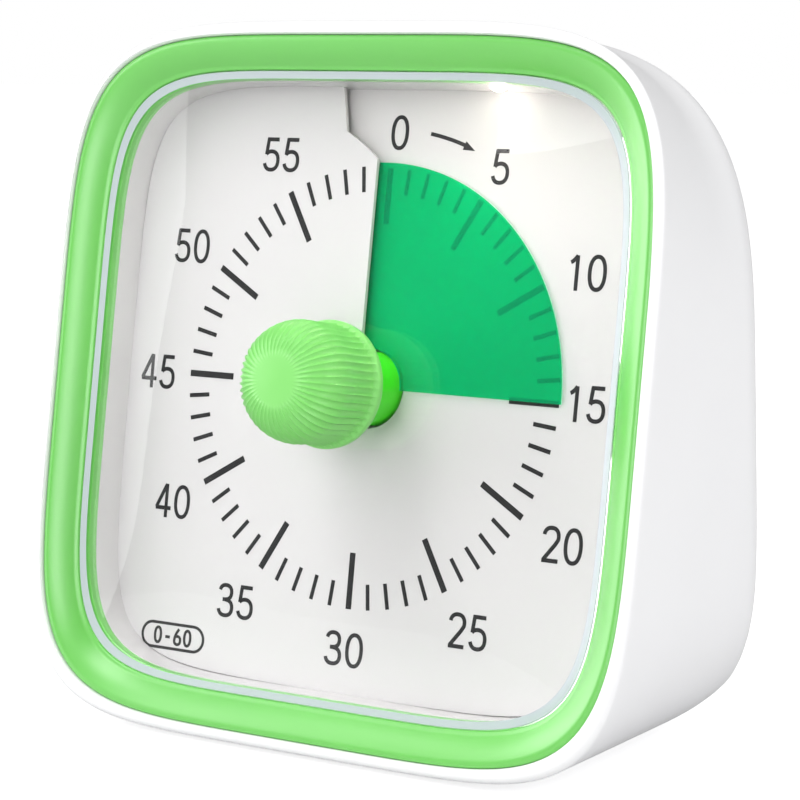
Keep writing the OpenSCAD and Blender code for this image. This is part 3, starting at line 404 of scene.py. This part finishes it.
def lip_turn(radius):
    """Where the dial's front end stops: beside the noon line, then out to jog_end degrees past the film."""
    slit = np.degrees(np.arcsin(lip_offset / radius))
    jog = np.clip((radius - jog_from) / jog_run, 0, 1)
    return 360 - slit - jog * (jog_end - slit)


dial_radii = np.array([dial_hole_r, 8, 14, 20, *np.linspace(jog_from, jog_from + jog_run, 4), 40])
share = np.linspace(0, 1, 361)[:, None]
reach = np.minimum(dial_radii, jog_from + jog_run)[None, :]
turn = -lip_overlap + (lip_turn(reach) + lip_overlap) * share
edge_u, edge_v = outline(np.radians(90 - turn[:, -1]), window_half_w - well_in, window_top - well_in,
                         window_bottom - well_in, window_power, window_power)
radius = np.broadcast_to(dial_radii, turn.shape).copy()
radius[:, -1] = np.hypot(edge_u, edge_v)
dial_points, dial_faces, _ = sheet_mesh(on_ramp(turn, radius, 0), on_ramp(turn, radius, -dial_t))
matt_styrene = moulded_plastic("matt_white_styrene", "#cecccd", 0.5, grain_mm=0.3, depth_mm=0.002, tone=0.008)
dial = make_piece("dial_sheet", dial_points, dial_faces, [matt_styrene], "case", ["dial_plate"], sharp=30)


# ---- Printed marks ----
# Black screen-printing ink, about 0.02 mm thick: sixty ticks, longer and bolder at every fifth, upright
# numbers from 0 to 55, the arrow that shows the way the dial counts, and a framed range.
INK_T, DIAL_R, arrow_r, arrow_w, head_half, head_tip = 0.02, 25.6, 30.1, 0.46, 0.54, 0.02
minor_in, major_in, minor_w, major_w = 22.6, 19.02, 0.5, 0.76
digit_h, digit_pitch, digit_w, stroke = 4.1, 2.88, 2.5, 0.48


def arc(x, y, rx, ry, start, stop, count=22, power=2.3):
    """Points on a superellipse arc round (x, y) from start to stop in degrees."""
    a = np.radians(np.linspace(start, stop, count))
    c, s = np.cos(a), np.sin(a)
    reach = (np.abs(c) ** power + np.abs(s) ** power) ** (-1 / power)
    return np.stack([x + rx * reach * c, y + ry * reach * s], -1)


digits = {
    "0": [arc(0.5, 0.5, 0.39, 0.442, 90, 450, 48, 2.25)],
    "1": [np.array([[0.6, 0.0], [0.6, 0.955]]),
          np.array([[0.6, 0.95], [0.5, 0.87], [0.36, 0.79], [0.26, 0.76]])],
    "2": [np.concatenate([arc(0.5, 0.71, 0.37, 0.232, 170, -20, 24), np.array([[0.72, 0.5], [0.16, 0.075]])]),
          np.array([[0.08, 0.058], [0.92, 0.058]])],
    "3": [arc(0.46, 0.735, 0.34, 0.207, 165, -90, 24), arc(0.48, 0.286, 0.39, 0.228, 90, -168, 26),
          np.array([[0.3, 0.522], [0.5, 0.522]])],
    "4": [np.array([[0.66, 0.98], [0.08, 0.29]]), np.array([[0.04, 0.28], [0.97, 0.28]]),
          np.array([[0.68, 0.0], [0.68, 0.99]])],
    "5": [np.array([[0.2, 0.942], [0.86, 0.942]]), np.array([[0.26, 0.99], [0.17, 0.5]]),
          arc(0.47, 0.325, 0.39, 0.267, 140, -163, 28)],
    "6": [arc(0.5, 0.3, 0.39, 0.242, 90, 450, 36),
          np.array([[0.11, 0.3], [0.16, 0.5], [0.36, 0.74], [0.66, 0.98]])],
    "-": [np.array([[0.2, 0.44], [0.8, 0.44]])],
}


def ribbon(path, width):
    """Two rows of points beside a path in the dial's plane, half the width to each side along its normals."""
    along = np.gradient(path, axis=0)
    normal = np.stack([-along[:, 1], along[:, 0]], -1) / np.linalg.norm(along, axis=1)[:, None]
    return np.stack([path + normal * width / 2, path - normal * width / 2])


def number_paths(word, u, v, height, width, pitch):
    """The strokes of a number centred on (u, v), upright on the dial."""
    left = u - pitch * (len(word) - 1) / 2 - width / 2
    return [stroke_path * (width, height) + (left + pitch * k, v - height / 2)
            for k, digit in enumerate(word) for stroke_path in digits[digit]]


ribbons = []
for minute in range(60):
    a = math.radians(6 * minute)
    inner, width = (major_in, major_w) if minute % 5 == 0 else (minor_in, minor_w)
    line = np.linspace(inner, DIAL_R, 6)[:, None] * np.array([[math.sin(a), math.cos(a)]])
    ribbons.append(ribbon(line, width))
number_at = [(0.033, 1.163), (0.586, 1.02), (1.074, 0.571), (1.131, 0.012), (1.079, -0.598),
             (0.637, -1.026), (-0.006, -1.184), (-0.625, -1.038), (-1.046, -0.606), (-1.197, -0.005),
             (-1.053, 0.593), (-0.569, 1.038)]
for k, (u, v) in enumerate(number_at):
    for path in number_paths(str(5 * k), u * DIAL_R, v * DIAL_R, digit_h, digit_w, digit_pitch):
        ribbons.append(ribbon(path, stroke))
arrow_turn = np.radians(np.linspace(9.75, 19.4, 12))
ribbons.append(ribbon((arrow_r + 0.05) * np.stack([np.sin(arrow_turn), np.cos(arrow_turn)], -1), arrow_w))
head, tip = math.radians(19.0), math.radians(22.03)
head_mid = arrow_r * np.array([math.sin(head), math.cos(head)])
tip_at = (arrow_r - 0.05) * np.array([math.sin(tip), math.cos(tip)])
across = np.array([-(tip_at - head_mid)[1], (tip_at - head_mid)[0]]) / np.linalg.norm(tip_at - head_mid)
ribbons.append(np.stack([np.array([head_mid + side * head_half * across, tip_at + side * head_tip * across])
                         for side in (1, -1)]))
pill_u, pill_v, pill_half, pill_r, pill_line = -24.97, -31.85, 3.15, 1.5, 0.36
pill_digit_h, pill_digit_w, pill_pitch = 2.05, 1.15, 1.5
pill = np.concatenate([arc(pill_u + pill_half, pill_v, pill_r, pill_r, -90, 90, 20, 2),
                       arc(pill_u - pill_half, pill_v, pill_r, pill_r, 90, 270, 20, 2)])
ribbons.append(ribbon(np.concatenate([pill, pill[:1]]), pill_line))
for path in number_paths("0-60", pill_u, pill_v, pill_digit_h, pill_digit_w, pill_pitch):
    ribbons.append(ribbon(path, pill_line))


def ink_mesh(ribbons):
    """One mesh of thin closed plates: each ribbon's two rows laid on the ramp, and again under it."""
    points, faces, count = [], [], 0
    for band in ribbons:
        grid = band.transpose(1, 0, 2)
        turn = np.degrees(np.arctan2(grid[..., 0], grid[..., 1])) % 360
        turn = np.where((turn > 355) & (grid[..., 0] > -lip_offset), turn - 360, turn)
        if np.ptp(turn) > 180:
            turn = np.where(turn > 180, turn - 360, turn)
        radius = np.hypot(grid[..., 0], grid[..., 1])
        p, f, _ = sheet_mesh(on_ramp(turn, radius, INK_T), on_ramp(turn, radius, -INK_T))
        points.append(p)
        faces.append(f + count)
        count += len(p)
    return np.concatenate(points), np.concatenate(faces)


ink = moulded_plastic("black_screen_ink", "#262627", 0.5, grain_mm=0.2, depth_mm=0.001, tone=0.05,
                      Specular_IOR_Level=0.15)
ink_points, ink_faces = ink_mesh(ribbons)
marks = make_piece("printed_marks", ink_points, ink_faces[:, ::-1], [ink], "case", sharp=30)


# ---- Film disc ----
# A disc of 0.2 mm green polyester film, cut along one radius and held by the hub. It shows from the slit at
# zero to its leading edge, and the rest lies under the dial. Light leaks through it, so the ticks show. Its
# cut edges are painted a paler green as a painted highlight.
film_t, film_lift, film_tail, film_set, hub_r, hub_room = 0.2, 0.55, 356, 90, 4.25, 0.3
film_turns = np.linspace(film_set - film_tail, film_set, 357)[:, None]
film_radii = np.linspace(hub_r + hub_room, disc_r, 14)[None, :]
film_points, film_faces, film_side = sheet_mesh(on_ramp(film_turns, film_radii, film_lift + film_t / 2),
                                                on_ramp(film_turns, film_radii, film_lift - film_t / 2))
green_film = moulded_plastic("green_polyester_film", "#00a270", 0.2, grain_mm=1.5, depth_mm=0.001, tone=0.01,
                             Specular_IOR_Level=0.1)
see_through = add_node(green_film, "ShaderNodeBsdfTransparent", {"Color": linear("#00f8c2")})
both = add_node(green_film, "ShaderNodeMixShader", {"Fac": 0.6})
film_tree = green_film.node_tree
film_tree.links.new(film_tree.nodes["Principled BSDF"].outputs["BSDF"], both.inputs[1])
film_tree.links.new(see_through.outputs["BSDF"], both.inputs[2])
wire(green_film, film_tree.nodes["Material Output"], Surface=both.outputs["Shader"])
# The cut edge's paler mint is a painted highlight along the film's thin edge, not a colour of the film.
film_edge_painted_highlight = moulded_plastic("film_cut_edge_painted_highlight", "#9ff3d0", 0.4, grain_mm=0.3, depth_mm=0.001, tone=0.05)
film = make_piece("time_film", film_points, film_faces, [green_film, film_edge_painted_highlight], "disc", ["film_disc"],
                  material_of=(np.arange(len(film_faces)) >= 2 * film_side).astype(int), sharp=30)
film.visible_shadow = False


# ---- Knob ----
# A hollow lime green ABS knob with 48 scalloped flutes that run from the smooth front round the shoulder to
# the plain lip. The ridges between the scallops are sharp and catch the light.
KNOB_FLUTES, ROUND_FLUTE = 48, 14
knob_r, knob_back, knob_w, flute_depth = 7.27, 7.6, 18.6, 0.3
profile = [(r, knob_back + up) for r, up in (
    (1.6, 0), (5.9, 0), (6.9, 0.02), (7.13, 0.1), (7.24, 0.25), (knob_r, 0.45), (knob_r, 0.8), (7.22, 0.98),
    (7.12, 1.12))]
waist_r, waist_w, side_r_most, dome_from, cap_r, dome_r, dome_high = 6.85, 10.9, 7.1, 6, 2.7, 4.26, 4.85
side_w = np.linspace(knob_back + 1.4, knob_back + dome_from, 12)
side_r = waist_r + 0.11 * ((side_w - waist_w) / 2.7) ** 2 + 0.12 * np.exp(-(side_w - knob_back - 1.1) / 0.6)
profile += list(zip(np.minimum(side_r, side_r_most), side_w))
dome = np.radians(np.linspace(6, 90, 20))
profile += list(zip(cap_r + dome_r * np.cos(dome), knob_back + dome_from + dome_high * np.sin(dome)))
profile += [(2.2, knob_w - 0.12), (1.5, knob_w - 0.06), (0.8, knob_w - 0.02), (0.25, knob_w)]
profile = np.array(profile)
knob_turn = np.arange(KNOB_FLUTES * ROUND_FLUTE) * 2 * math.pi / (KNOB_FLUTES * ROUND_FLUTE)
in_flute = (knob_turn * KNOB_FLUTES / (2 * math.pi)) % 1
scallop = 1 - (2 * in_flute - 1) ** 2
swell = np.clip((profile[:, 1] - knob_back - 1.0) / 0.5, 0, 1) * np.clip((profile[:, 0] - 2.5) / 1.3, 0, 1)
swell = swell * swell * (3 - 2 * swell)
tangent = np.gradient(profile, axis=0)
normal = np.stack([tangent[:, 1], -tangent[:, 0]], -1) / np.linalg.norm(tangent, axis=1)[:, None]
cut = flute_depth * swell[:, None] * scallop[None, :] * np.clip(profile[:, 0] / 6.9, 0.35, 1)[:, None]
knob_radius = profile[:, :1] - normal[:, :1] * cut
knob_level = profile[:, 1:] - normal[:, 1:] * cut
knob_grid = on_front(knob_radius * np.cos(knob_turn), knob_radius * np.sin(knob_turn), knob_level)


def capped(rows, ring, flip=False):
    """Faces of a turned surface of so many rings, with one face to close each end; flip turns them round."""
    faces = [list(f) for f in quads(rows, ring)]
    faces += [list(range((rows - 1) * ring, rows * ring)), list(range(ring))[::-1]]
    return [f[::-1] for f in faces] if flip else faces


lime_knob = moulded_plastic("lime_green_knob_abs", "#84d570", 0.34, grain_mm=0.3, depth_mm=0.002, tone=0.015)
knob = make_piece("fluted_knob", knob_grid, capped(len(profile), len(knob_turn)), [lime_knob], "timer_rotor",
                  ["knob"], sharp=42)


# ---- Hub ----
# The collar under the knob that grips the film: a plain turned boss of green ABS, its corners
# chamfered. Its green is painted brighter and more saturated than the knob's, as painted light bounced from
# the knob into its shade.
hub_bore, hub_low, hub_top, hub_chamfer, top_chamfer = 1.52, -2.8, 7.56, 0.3, 0.16
hub_profile = [(hub_bore, hub_low), (hub_r - hub_chamfer, hub_low), (hub_r, hub_low + hub_chamfer),
               (hub_r, hub_top - top_chamfer), (hub_r - top_chamfer, hub_top), (hub_bore, hub_top + 0.02)]
hub_turn = np.arange(96) * 2 * math.pi / 96
hub_grid = np.stack([on_front(r * np.cos(hub_turn), r * np.sin(hub_turn), w) for r, w in hub_profile])
# Brighter, more saturated green than the knob: painted bounce light in the knob's shade, same plastic as the
# knob.
hub_painted_bounce_green = moulded_plastic("hub_green_painted_bounce_light", "#4cf222", 0.3, grain_mm=0.3, depth_mm=0.002, tone=0.02)
hub = make_piece("hub_collar", hub_grid, quads(len(hub_profile), 96, close_rows=True), [hub_painted_bounce_green],
                 "timer_rotor", ["hub"])


# ---- Lamp ----
# A 2.4 mm warm white LED in clear epoxy, soldered to its board over the well. Its dome looks down on the dial
# through the well's top wall, and it is lit.
lamp_on = new_material("lit_led_epoxy", Base_Color=linear("#fff3da"), Roughness=0.1,
                       Emission_Color=linear("#fff6e6"), Emission_Strength=480)[0]
lamp_u, lamp_w, lamp_r, lamp_show, lamp_high = 15.4, 2, 1.2, 0.6, 3.0
lamp_v = window_top - well_in
lamp_profile = [(lamp_r, lamp_high), (lamp_r, lamp_r - lamp_show)]
lamp_profile += [(lamp_r * math.cos(a), lamp_r - lamp_show - lamp_r * math.sin(a))
                 for a in np.radians((15, 30, 45, 60, 75, 88))]
lamp_turn = np.arange(40) * 2 * math.pi / 40
lamp_grid = np.stack([on_front(lamp_u + r * np.cos(lamp_turn), lamp_v + dv, lamp_w + r * np.sin(lamp_turn))
                      for r, dv in lamp_profile])
lamp = make_piece("led_dome", lamp_grid, capped(len(lamp_profile), len(lamp_turn)), [lamp_on], "case",
                  ["led"])


# ---- Base pad ----
# A flat grey-white silicone pad, matt and soft, glued into the underside. It stands a little proud and keeps
# the timer from sliding.
pad_w, pad_d, pad_y, pad_corner, pad_depth, pad_edge = 50, 26, -1, 5, 1.4, 0.25
pad_turn = np.arange(96) * 2 * math.pi / 96


def pad_ring(inset, z):
    """The pad's rounded rectangle drawn in by inset, at height z in mm."""
    x = np.sign(np.cos(pad_turn)) * (pad_w / 2 - pad_corner) + (pad_corner - inset) * np.cos(pad_turn)
    y = pad_y + np.sign(np.sin(pad_turn)) * (pad_d / 2 - pad_corner) + (pad_corner - inset) * np.sin(pad_turn)
    return np.stack([x, y, np.full(len(x), float(z))], -1) / 1000


pad_rows = [pad_ring(0, pad_depth)]
pad_rows += [pad_ring(pad_edge * (1 - math.cos(a)), pad_edge * (1 - math.sin(a)))
             for a in np.linspace(0, math.pi / 2, 5)]
pad_faces = capped(len(pad_rows), len(pad_turn), flip=True)
silicone = moulded_plastic("grey_white_silicone", "#d2d2d0", 0.7, grain_mm=0.6, depth_mm=0.02, tone=0.03)
pad = make_piece("base_pad_sheet", np.concatenate(pad_rows), pad_faces, [silicone], "case", ["base_pad"])


# ---- Battery door ----
# A white ABS flap, 2 mm thick, hinged on two pins at its rounded lower edge. A finger notch at the top
# opens it.
door_t, door_gap, door_edge, notch_r, notch_out, notch_half = 2, 0.2, 0.3, 1.6, 0.6, 6
door_low, door_high = bay_z - bay_h / 2 + door_gap, bay_z + bay_h / 2 - door_gap
notch_z = door_high - door_t
hinge = np.radians(np.linspace(0, -180, 15))
corner = np.radians(np.linspace(90, 0, 5))
door_profile = [(-door_t / 2 - door_t / 2 * math.cos(a), door_low + door_t / 2 + door_t / 2 * math.sin(a))
                for a in hinge]
door_profile += [(0, z) for z in np.linspace(door_low + door_t, notch_z - notch_r, 6)]
door_profile += [(0, z) for z in np.linspace(notch_z - notch_r + 0.1, notch_z + notch_r - 0.1, 17)]
door_profile += [(-door_edge * (1 - math.sin(a)), door_high - door_edge * (1 - math.cos(a))) for a in corner]
door_profile += [(-door_t + door_edge, door_high), (-door_t, door_high - door_edge)]
door_profile = np.array(door_profile)
door_half = bay_w / 2 - door_gap
door_side = np.concatenate([np.linspace(7, 20, 5), [door_half - door_edge, door_half - 0.08, door_half]])
door_x = np.concatenate([-door_side[::-1], np.linspace(-6.2, 6.2, 41), door_side])
x, y = np.meshgrid(door_x, door_profile[:, 0])
z = np.broadcast_to(door_profile[:, 1:], x.shape)
bowl = notch_r * np.sqrt(np.clip(1 - ((z - notch_z) / notch_r) ** 2, 0, 1))
bowl *= np.sqrt(np.clip(1 - (x / notch_half) ** 8, 0, 1))
y = np.where(y > -0.01, np.minimum(y, notch_out - bowl), y)
ease = np.clip((door_half - np.abs(x)) / door_edge, 0, 1)
y = -door_t / 2 + (y + door_t / 2) * (1 - (1 - np.sqrt(ease * (2 - ease))) * door_edge * 2 / door_t)
door_faces = [list(f) for f in quads(len(door_profile), len(door_x), close_rows=True, close_cols=False)]
door_faces += [[k * len(door_x) for k in range(len(door_profile))],
               [k * len(door_x) + len(door_x) - 1 for k in range(len(door_profile))][::-1]]
door = make_piece("battery_door_flap", on_back(x, y, z), door_faces, [white_abs], "door",
                  ["battery_door"])


# ---- Sound slider ----
# A small white ABS cap pushed on the volume switch. It shows in a slot of the back, and its grip ridges run
# across its travel.
slider_w, slider_h, slider_show, ridge_high, ridge_pitch = 3, 2.4, 1, 0.16, 0.8
slider_x = np.linspace(-slider_w / 2, slider_w / 2, 49)
slider_z = np.concatenate([[-1, -0.96, -0.88], np.linspace(-0.7, 0.7, 8), [0.88, 0.96, 1]]) * slider_h / 2
x, z = np.meshgrid(slider_x, slider_z)
ridge = ridge_high * (0.5 + 0.5 * np.cos(2 * math.pi * x / ridge_pitch))
round_x = np.sqrt(np.clip(1 - np.abs(2 * x / slider_w) ** 14, 0, 1))
round_z = np.sqrt(np.clip(1 - np.abs(2 * z / slider_h) ** 10, 0, 1))
top = (slider_show - ridge_high + ridge) * round_x * round_z
skin_top = on_back(x - switch_x, top, z + switch_z)
skin_low = on_back(x - switch_x, np.full(x.shape, -float(back_wall)), z + switch_z)
slider_points, slider_faces, _ = sheet_mesh(skin_top, skin_low)
slider = make_piece("sound_slider_cap", slider_points, slider_faces[:, ::-1], [white_abs], "slider",
                    ["volume_slider"], sharp=50)


# ---- Lamp button ----
# A round white ABS push button with a shallow dish for the fingertip. A flange behind the wall keeps it in.
button_r, button_show, button_round, dish, dish_r = 3, 1.6, 0.35, 0.25, 2.6
flange_r, flange_t, button_stop = 3.8, 0.8, 0.1
low = -back_wall - button_stop
button_profile = [(0.2, low - flange_t), (flange_r, low - flange_t), (flange_r, low), (button_r, low),
                  (button_r, button_show - button_round)]
button_profile += [(button_r - button_round * (1 - math.cos(a)),
                    button_show - button_round * (1 - math.sin(a))) for a in np.linspace(0.3, math.pi / 2, 5)]
button_profile += [(r, button_show - dish * (1 - (r / dish_r) ** 2))
                   for r in (2.4, 2, 1.6, 1.2, 0.8, 0.4, 0.1)]
turn = np.arange(64) * 2 * math.pi / 64
button_grid = np.stack([on_back(switch_x + r * np.cos(turn), y, switch_z + r * np.sin(turn))
                        for r, y in button_profile])
button = make_piece("lamp_button_cap", button_grid, capped(len(button_profile), len(turn), flip=True),
                    [white_abs], "button", ["light_button"])


# ---- Metal works ----
# The parts behind the dial keep their CAD meshes. Steel, brass and nickel get fine brushing along one way,
# and the brushing also varies how sharp the reflection is.
def brushed_metal(name, colour, roughness, pitch_mm):
    """Bare metal with brush lines a pitch apart: noise stretched along x, in colour, sheen and bump."""
    material, shader, where = new_material(name, Metallic=1)
    across, stretch = 1000 / pitch_mm, 60
    drawn = add_node(material, "ShaderNodeMapping", {"Scale": (across / stretch, across, across)},
                     {"Vector": where})
    lines = add_node(material, "ShaderNodeTexNoise", {"Scale": 1, "Detail": 3},
                     {"Vector": drawn.outputs["Vector"]})
    shade = add_node(material, "ShaderNodeValToRGB", {}, {"Fac": lines.outputs["Fac"]})
    base = np.array(linear(colour))[:3]
    for stop, share in zip(shade.color_ramp.elements, (0.85, 1.08)):
        stop.color = (*np.minimum(base * share, 1), 1)
    sheen = add_node(material, "ShaderNodeMapRange", {"To Min": roughness * 0.7, "To Max": roughness * 1.3},
                     {"Value": lines.outputs["Fac"]})
    bump = add_node(material, "ShaderNodeBump", {"Strength": 0.3, "Distance": 0.000005},
                    {"Height": lines.outputs["Fac"]})
    return wire(material, shader, Base_Color=shade.outputs["Color"], Roughness=sheen.outputs["Result"],
                Normal=bump.outputs["Normal"])


def repaint(material, *nodes):
    """Puts a material on every slot of the CAD nodes that keep their own meshes."""
    for node in nodes:
        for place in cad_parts[node].material_slots:
            place.material = material


repaint(brushed_metal("zinc_plated_steel", "#c3c6c9", 0.3, 0.12), "chassis_screws", "movement_screws",
        "board_screws", "stator", "crystal", "volume_switch")
repaint(brushed_metal("ground_steel_rod", "#b9bcc0", 0.18, 0.06), "spindle")
repaint(brushed_metal("cut_brass_sheet", "#d0ae5c", 0.25, 0.1), "spindle_wheel", "third_wheel",
        "fourth_wheel")
repaint(brushed_metal("nickel_plated_spring_steel", "#cfcbc2", 0.22, 0.1), "battery_contacts",
        "alarm_contact")


# ---- Movement plastics and magnet ----
# The plate, cover and cam are moulded acetal. The rotor is a dark sintered magnet, and the chip, the buzzer
# and the lamp's switch are black moulded epoxy and nylon.
repaint(moulded_plastic("ivory_acetal", "#e3ddc8", 0.42, grain_mm=0.3, depth_mm=0.004), "movement_plate",
        "movement_cover", "alarm_cam")
repaint(moulded_plastic("white_chassis_abs", "#e9e9ea", 0.5, grain_mm=0.4, depth_mm=0.006), "chassis",
        "battery_box")
repaint(moulded_plastic("sintered_ferrite", "#3c3d41", 0.55, grain_mm=0.12, depth_mm=0.01, tone=0.12),
        "rotor")
repaint(moulded_plastic("black_moulded_epoxy", "#222326", 0.5, grain_mm=0.1, depth_mm=0.006, tone=0.1),
        "timer_chip", "buzzer", "light_switch")


# ---- Motor coil and wires ----
# The coil is enamelled copper wound in close turns on the motor's core. Two wires in red PVC sleeves lead to
# the lamp's board.
def wound_copper(name, pitch_mm):
    """Turns of round wire a pitch apart: bands across z, with rounded tops and painted shade in the gaps."""
    material, shader, where = new_material(name, Metallic=0.9, Roughness=0.3)
    bands = add_node(material, "ShaderNodeTexWave", {"bands_direction": "Z", "Scale": 1000 / pitch_mm / 20,
                                                     "Distortion": 0.4}, {"Vector": where})
    shade = add_node(material, "ShaderNodeValToRGB", {}, {"Fac": bands.outputs["Fac"]})
    # The ramp's dark brown end is painted shade in the gaps between turns; the light end is the copper.
    for stop, colour in zip(shade.color_ramp.elements, ("#7a3f1c", "#c97a45")):
        stop.color = linear(colour)
    bump = add_node(material, "ShaderNodeBump", {"Strength": 0.6, "Distance": 0.00003},
                    {"Height": bands.outputs["Fac"]})
    return wire(material, shader, Base_Color=shade.outputs["Color"], Normal=bump.outputs["Normal"])


repaint(wound_copper("enamelled_copper_painted_gap_shade", 0.1), "coil")
repaint(moulded_plastic("red_pvc_sleeve", "#b3251f", 0.45, grain_mm=0.2, depth_mm=0.005), "led_leads")


# ---- Circuit boards ----
# Two glass-epoxy boards under green solder mask, the main one screwed to the chassis. The copper tracks show
# through the mask as slightly paler lines.
def solder_mask(name, track_mm):
    """Green lacquer over tracks: a square mosaic of cells a track apart, paler and raised over the copper."""
    material, shader, where = new_material(name, Roughness=0.28)
    cells = add_node(material, "ShaderNodeTexVoronoi", {"distance": "MANHATTAN", "feature": "F1",
                                                        "Scale": 1000 / track_mm}, {"Vector": where})
    shade = add_node(material, "ShaderNodeValToRGB", {}, {"Fac": cells.outputs["Distance"]})
    for stop, place, colour in zip(shade.color_ramp.elements, (0.42, 0.5), ("#17703f", "#0f5530")):
        stop.position = place
        stop.color = linear(colour)
    bump = add_node(material, "ShaderNodeBump", {"Strength": 0.5, "Distance": 0.00003},
                    {"Height": shade.outputs["Color"]})
    return wire(material, shader, Base_Color=shade.outputs["Color"], Normal=bump.outputs["Normal"])


repaint(solder_mask("green_solder_mask", 1.6), "circuit_board", "led_board")


# ---- Cells ----
# Two AAA cells one above the other in the box, in plain printed film: a dark body with a copper-coloured
# band at one end.
cell_wrap = brushed_metal("printed_cell_wrap", "#3a3d44", 0.32, 0.3)
where = add_node(cell_wrap, "ShaderNodeTexCoord").outputs["Object"]
along = add_node(cell_wrap, "ShaderNodeSeparateXYZ", {}, {"Vector": where})
cell_half = 0.0222
ends = add_node(cell_wrap, "ShaderNodeMapRange", {"From Min": -cell_half, "From Max": cell_half},
                {"Value": along.outputs["X"]})
bands = add_node(cell_wrap, "ShaderNodeValToRGB", {}, {"Fac": ends.outputs["Result"]})
bands.color_ramp.interpolation = "CONSTANT"
bands.color_ramp.elements[0].color = linear("#3a3d44")
bands.color_ramp.elements[1].position = 0.74
bands.color_ramp.elements[1].color = linear("#b4713c")
wire(cell_wrap, cell_wrap.node_tree.nodes["Principled BSDF"], Base_Color=bands.outputs["Color"])
repaint(cell_wrap, "cells")


# ---- Studio ----
# A pale floor that runs out into a white background under an even white surround. Softboxes stand at the
# left, in front, overhead and at the right. The fill above the camera lights the dial and isn't mirrored, and
# the strip at the left is only mirrored.
floor_half = 3.0
floor_mesh = bpy.data.meshes.new("studio_floor")
floor_mesh.from_pydata([(x * floor_half, y * floor_half, 0) for x, y in ((-1, -1), (1, -1), (1, 1), (-1, 1))],
                       [], [(0, 1, 2, 3)])
studio_floor = bpy.data.objects.new("studio_floor", floor_mesh)
bpy.context.scene.collection.objects.link(studio_floor)
floor_paper, floor_shader, _ = new_material("white_background_paper", Base_Color=linear("#cdcdce"),
                                            Roughness=0.9, Specular_IOR_Level=0.1,
                                            Emission_Color=(1, 1, 1, 1))
ray = add_node(floor_paper, "ShaderNodeLightPath")
lift = add_node(floor_paper, "ShaderNodeMapRange", {"To Max": 0.75}, {"Value": ray.outputs["Is Camera Ray"]})
wire(floor_paper, floor_shader, Emission_Strength=lift.outputs["Result"])
floor_mesh.materials.append(floor_paper)


def softbox(name, place, target, width, height, radiance):
    """A rectangular soft light at a place in metres, facing its target: power = pi * area * radiance."""
    data = bpy.data.lights.new(name, "AREA")
    data.shape, data.size, data.size_y = "RECTANGLE", width, height
    data.energy = math.pi * width * height * radiance
    light = bpy.data.objects.new(name, data)
    light.location = place
    light.rotation_mode = "QUATERNION"
    light.rotation_quaternion = (Vector(target) - Vector(place)).to_track_quat("-Z", "Y")
    bpy.context.scene.collection.objects.link(light)
    return light


middle = (0, 0, 0.041)


def around(azimuth, elevation, distance):
    """A place round the timer's middle: azimuth from the front to the right and elevation in degrees."""
    a, e = math.radians(azimuth), math.radians(elevation)
    level = distance * math.cos(e)
    return (level * math.sin(a), -level * math.cos(a), distance * math.sin(e) + middle[2])


left_strip = softbox("left_strip_light", around(-80, 10, 0.8), middle, 0.42, 0.9, 2.8)
left_strip.visible_diffuse = False
softbox("left_softbox", around(-57, 14, 0.5), middle, 0.22, 0.44, 2.6)
front_fill = softbox("front_fill", around(-14, 36, 0.36), middle, 0.2, 0.2, 1.75)
front_fill.visible_glossy = False
softbox("front_softbox", around(14, 9, 0.75), middle, 0.28, 0.4, 4.6)
softbox("overhead_softbox", around(-34, 62, 0.9), middle, 0.45, 0.35, 4.8)
softbox("right_softbox", around(95, 25, 1.0), middle, 0.7, 0.7, 3.1)

world = bpy.data.worlds.new("white_surround")
bpy.context.scene.world = world
world.use_nodes = True
sky = world.node_tree.nodes["Background"]
sky.inputs["Color"].default_value = (1, 1, 1, 1)
world_ray = add_node(world, "ShaderNodeLightPath")
mirrored = add_node(world, "ShaderNodeMapRange", {"To Min": 0.58, "To Max": 0.1},
                    {"Value": world_ray.outputs["Is Glossy Ray"]})
level = add_node(world, "ShaderNodeMapRange", {"To Max": 1.0},
                 {"To Min": mirrored.outputs["Result"], "Value": world_ray.outputs["Is Camera Ray"]})
wire(world, sky, Strength=level.outputs["Result"])
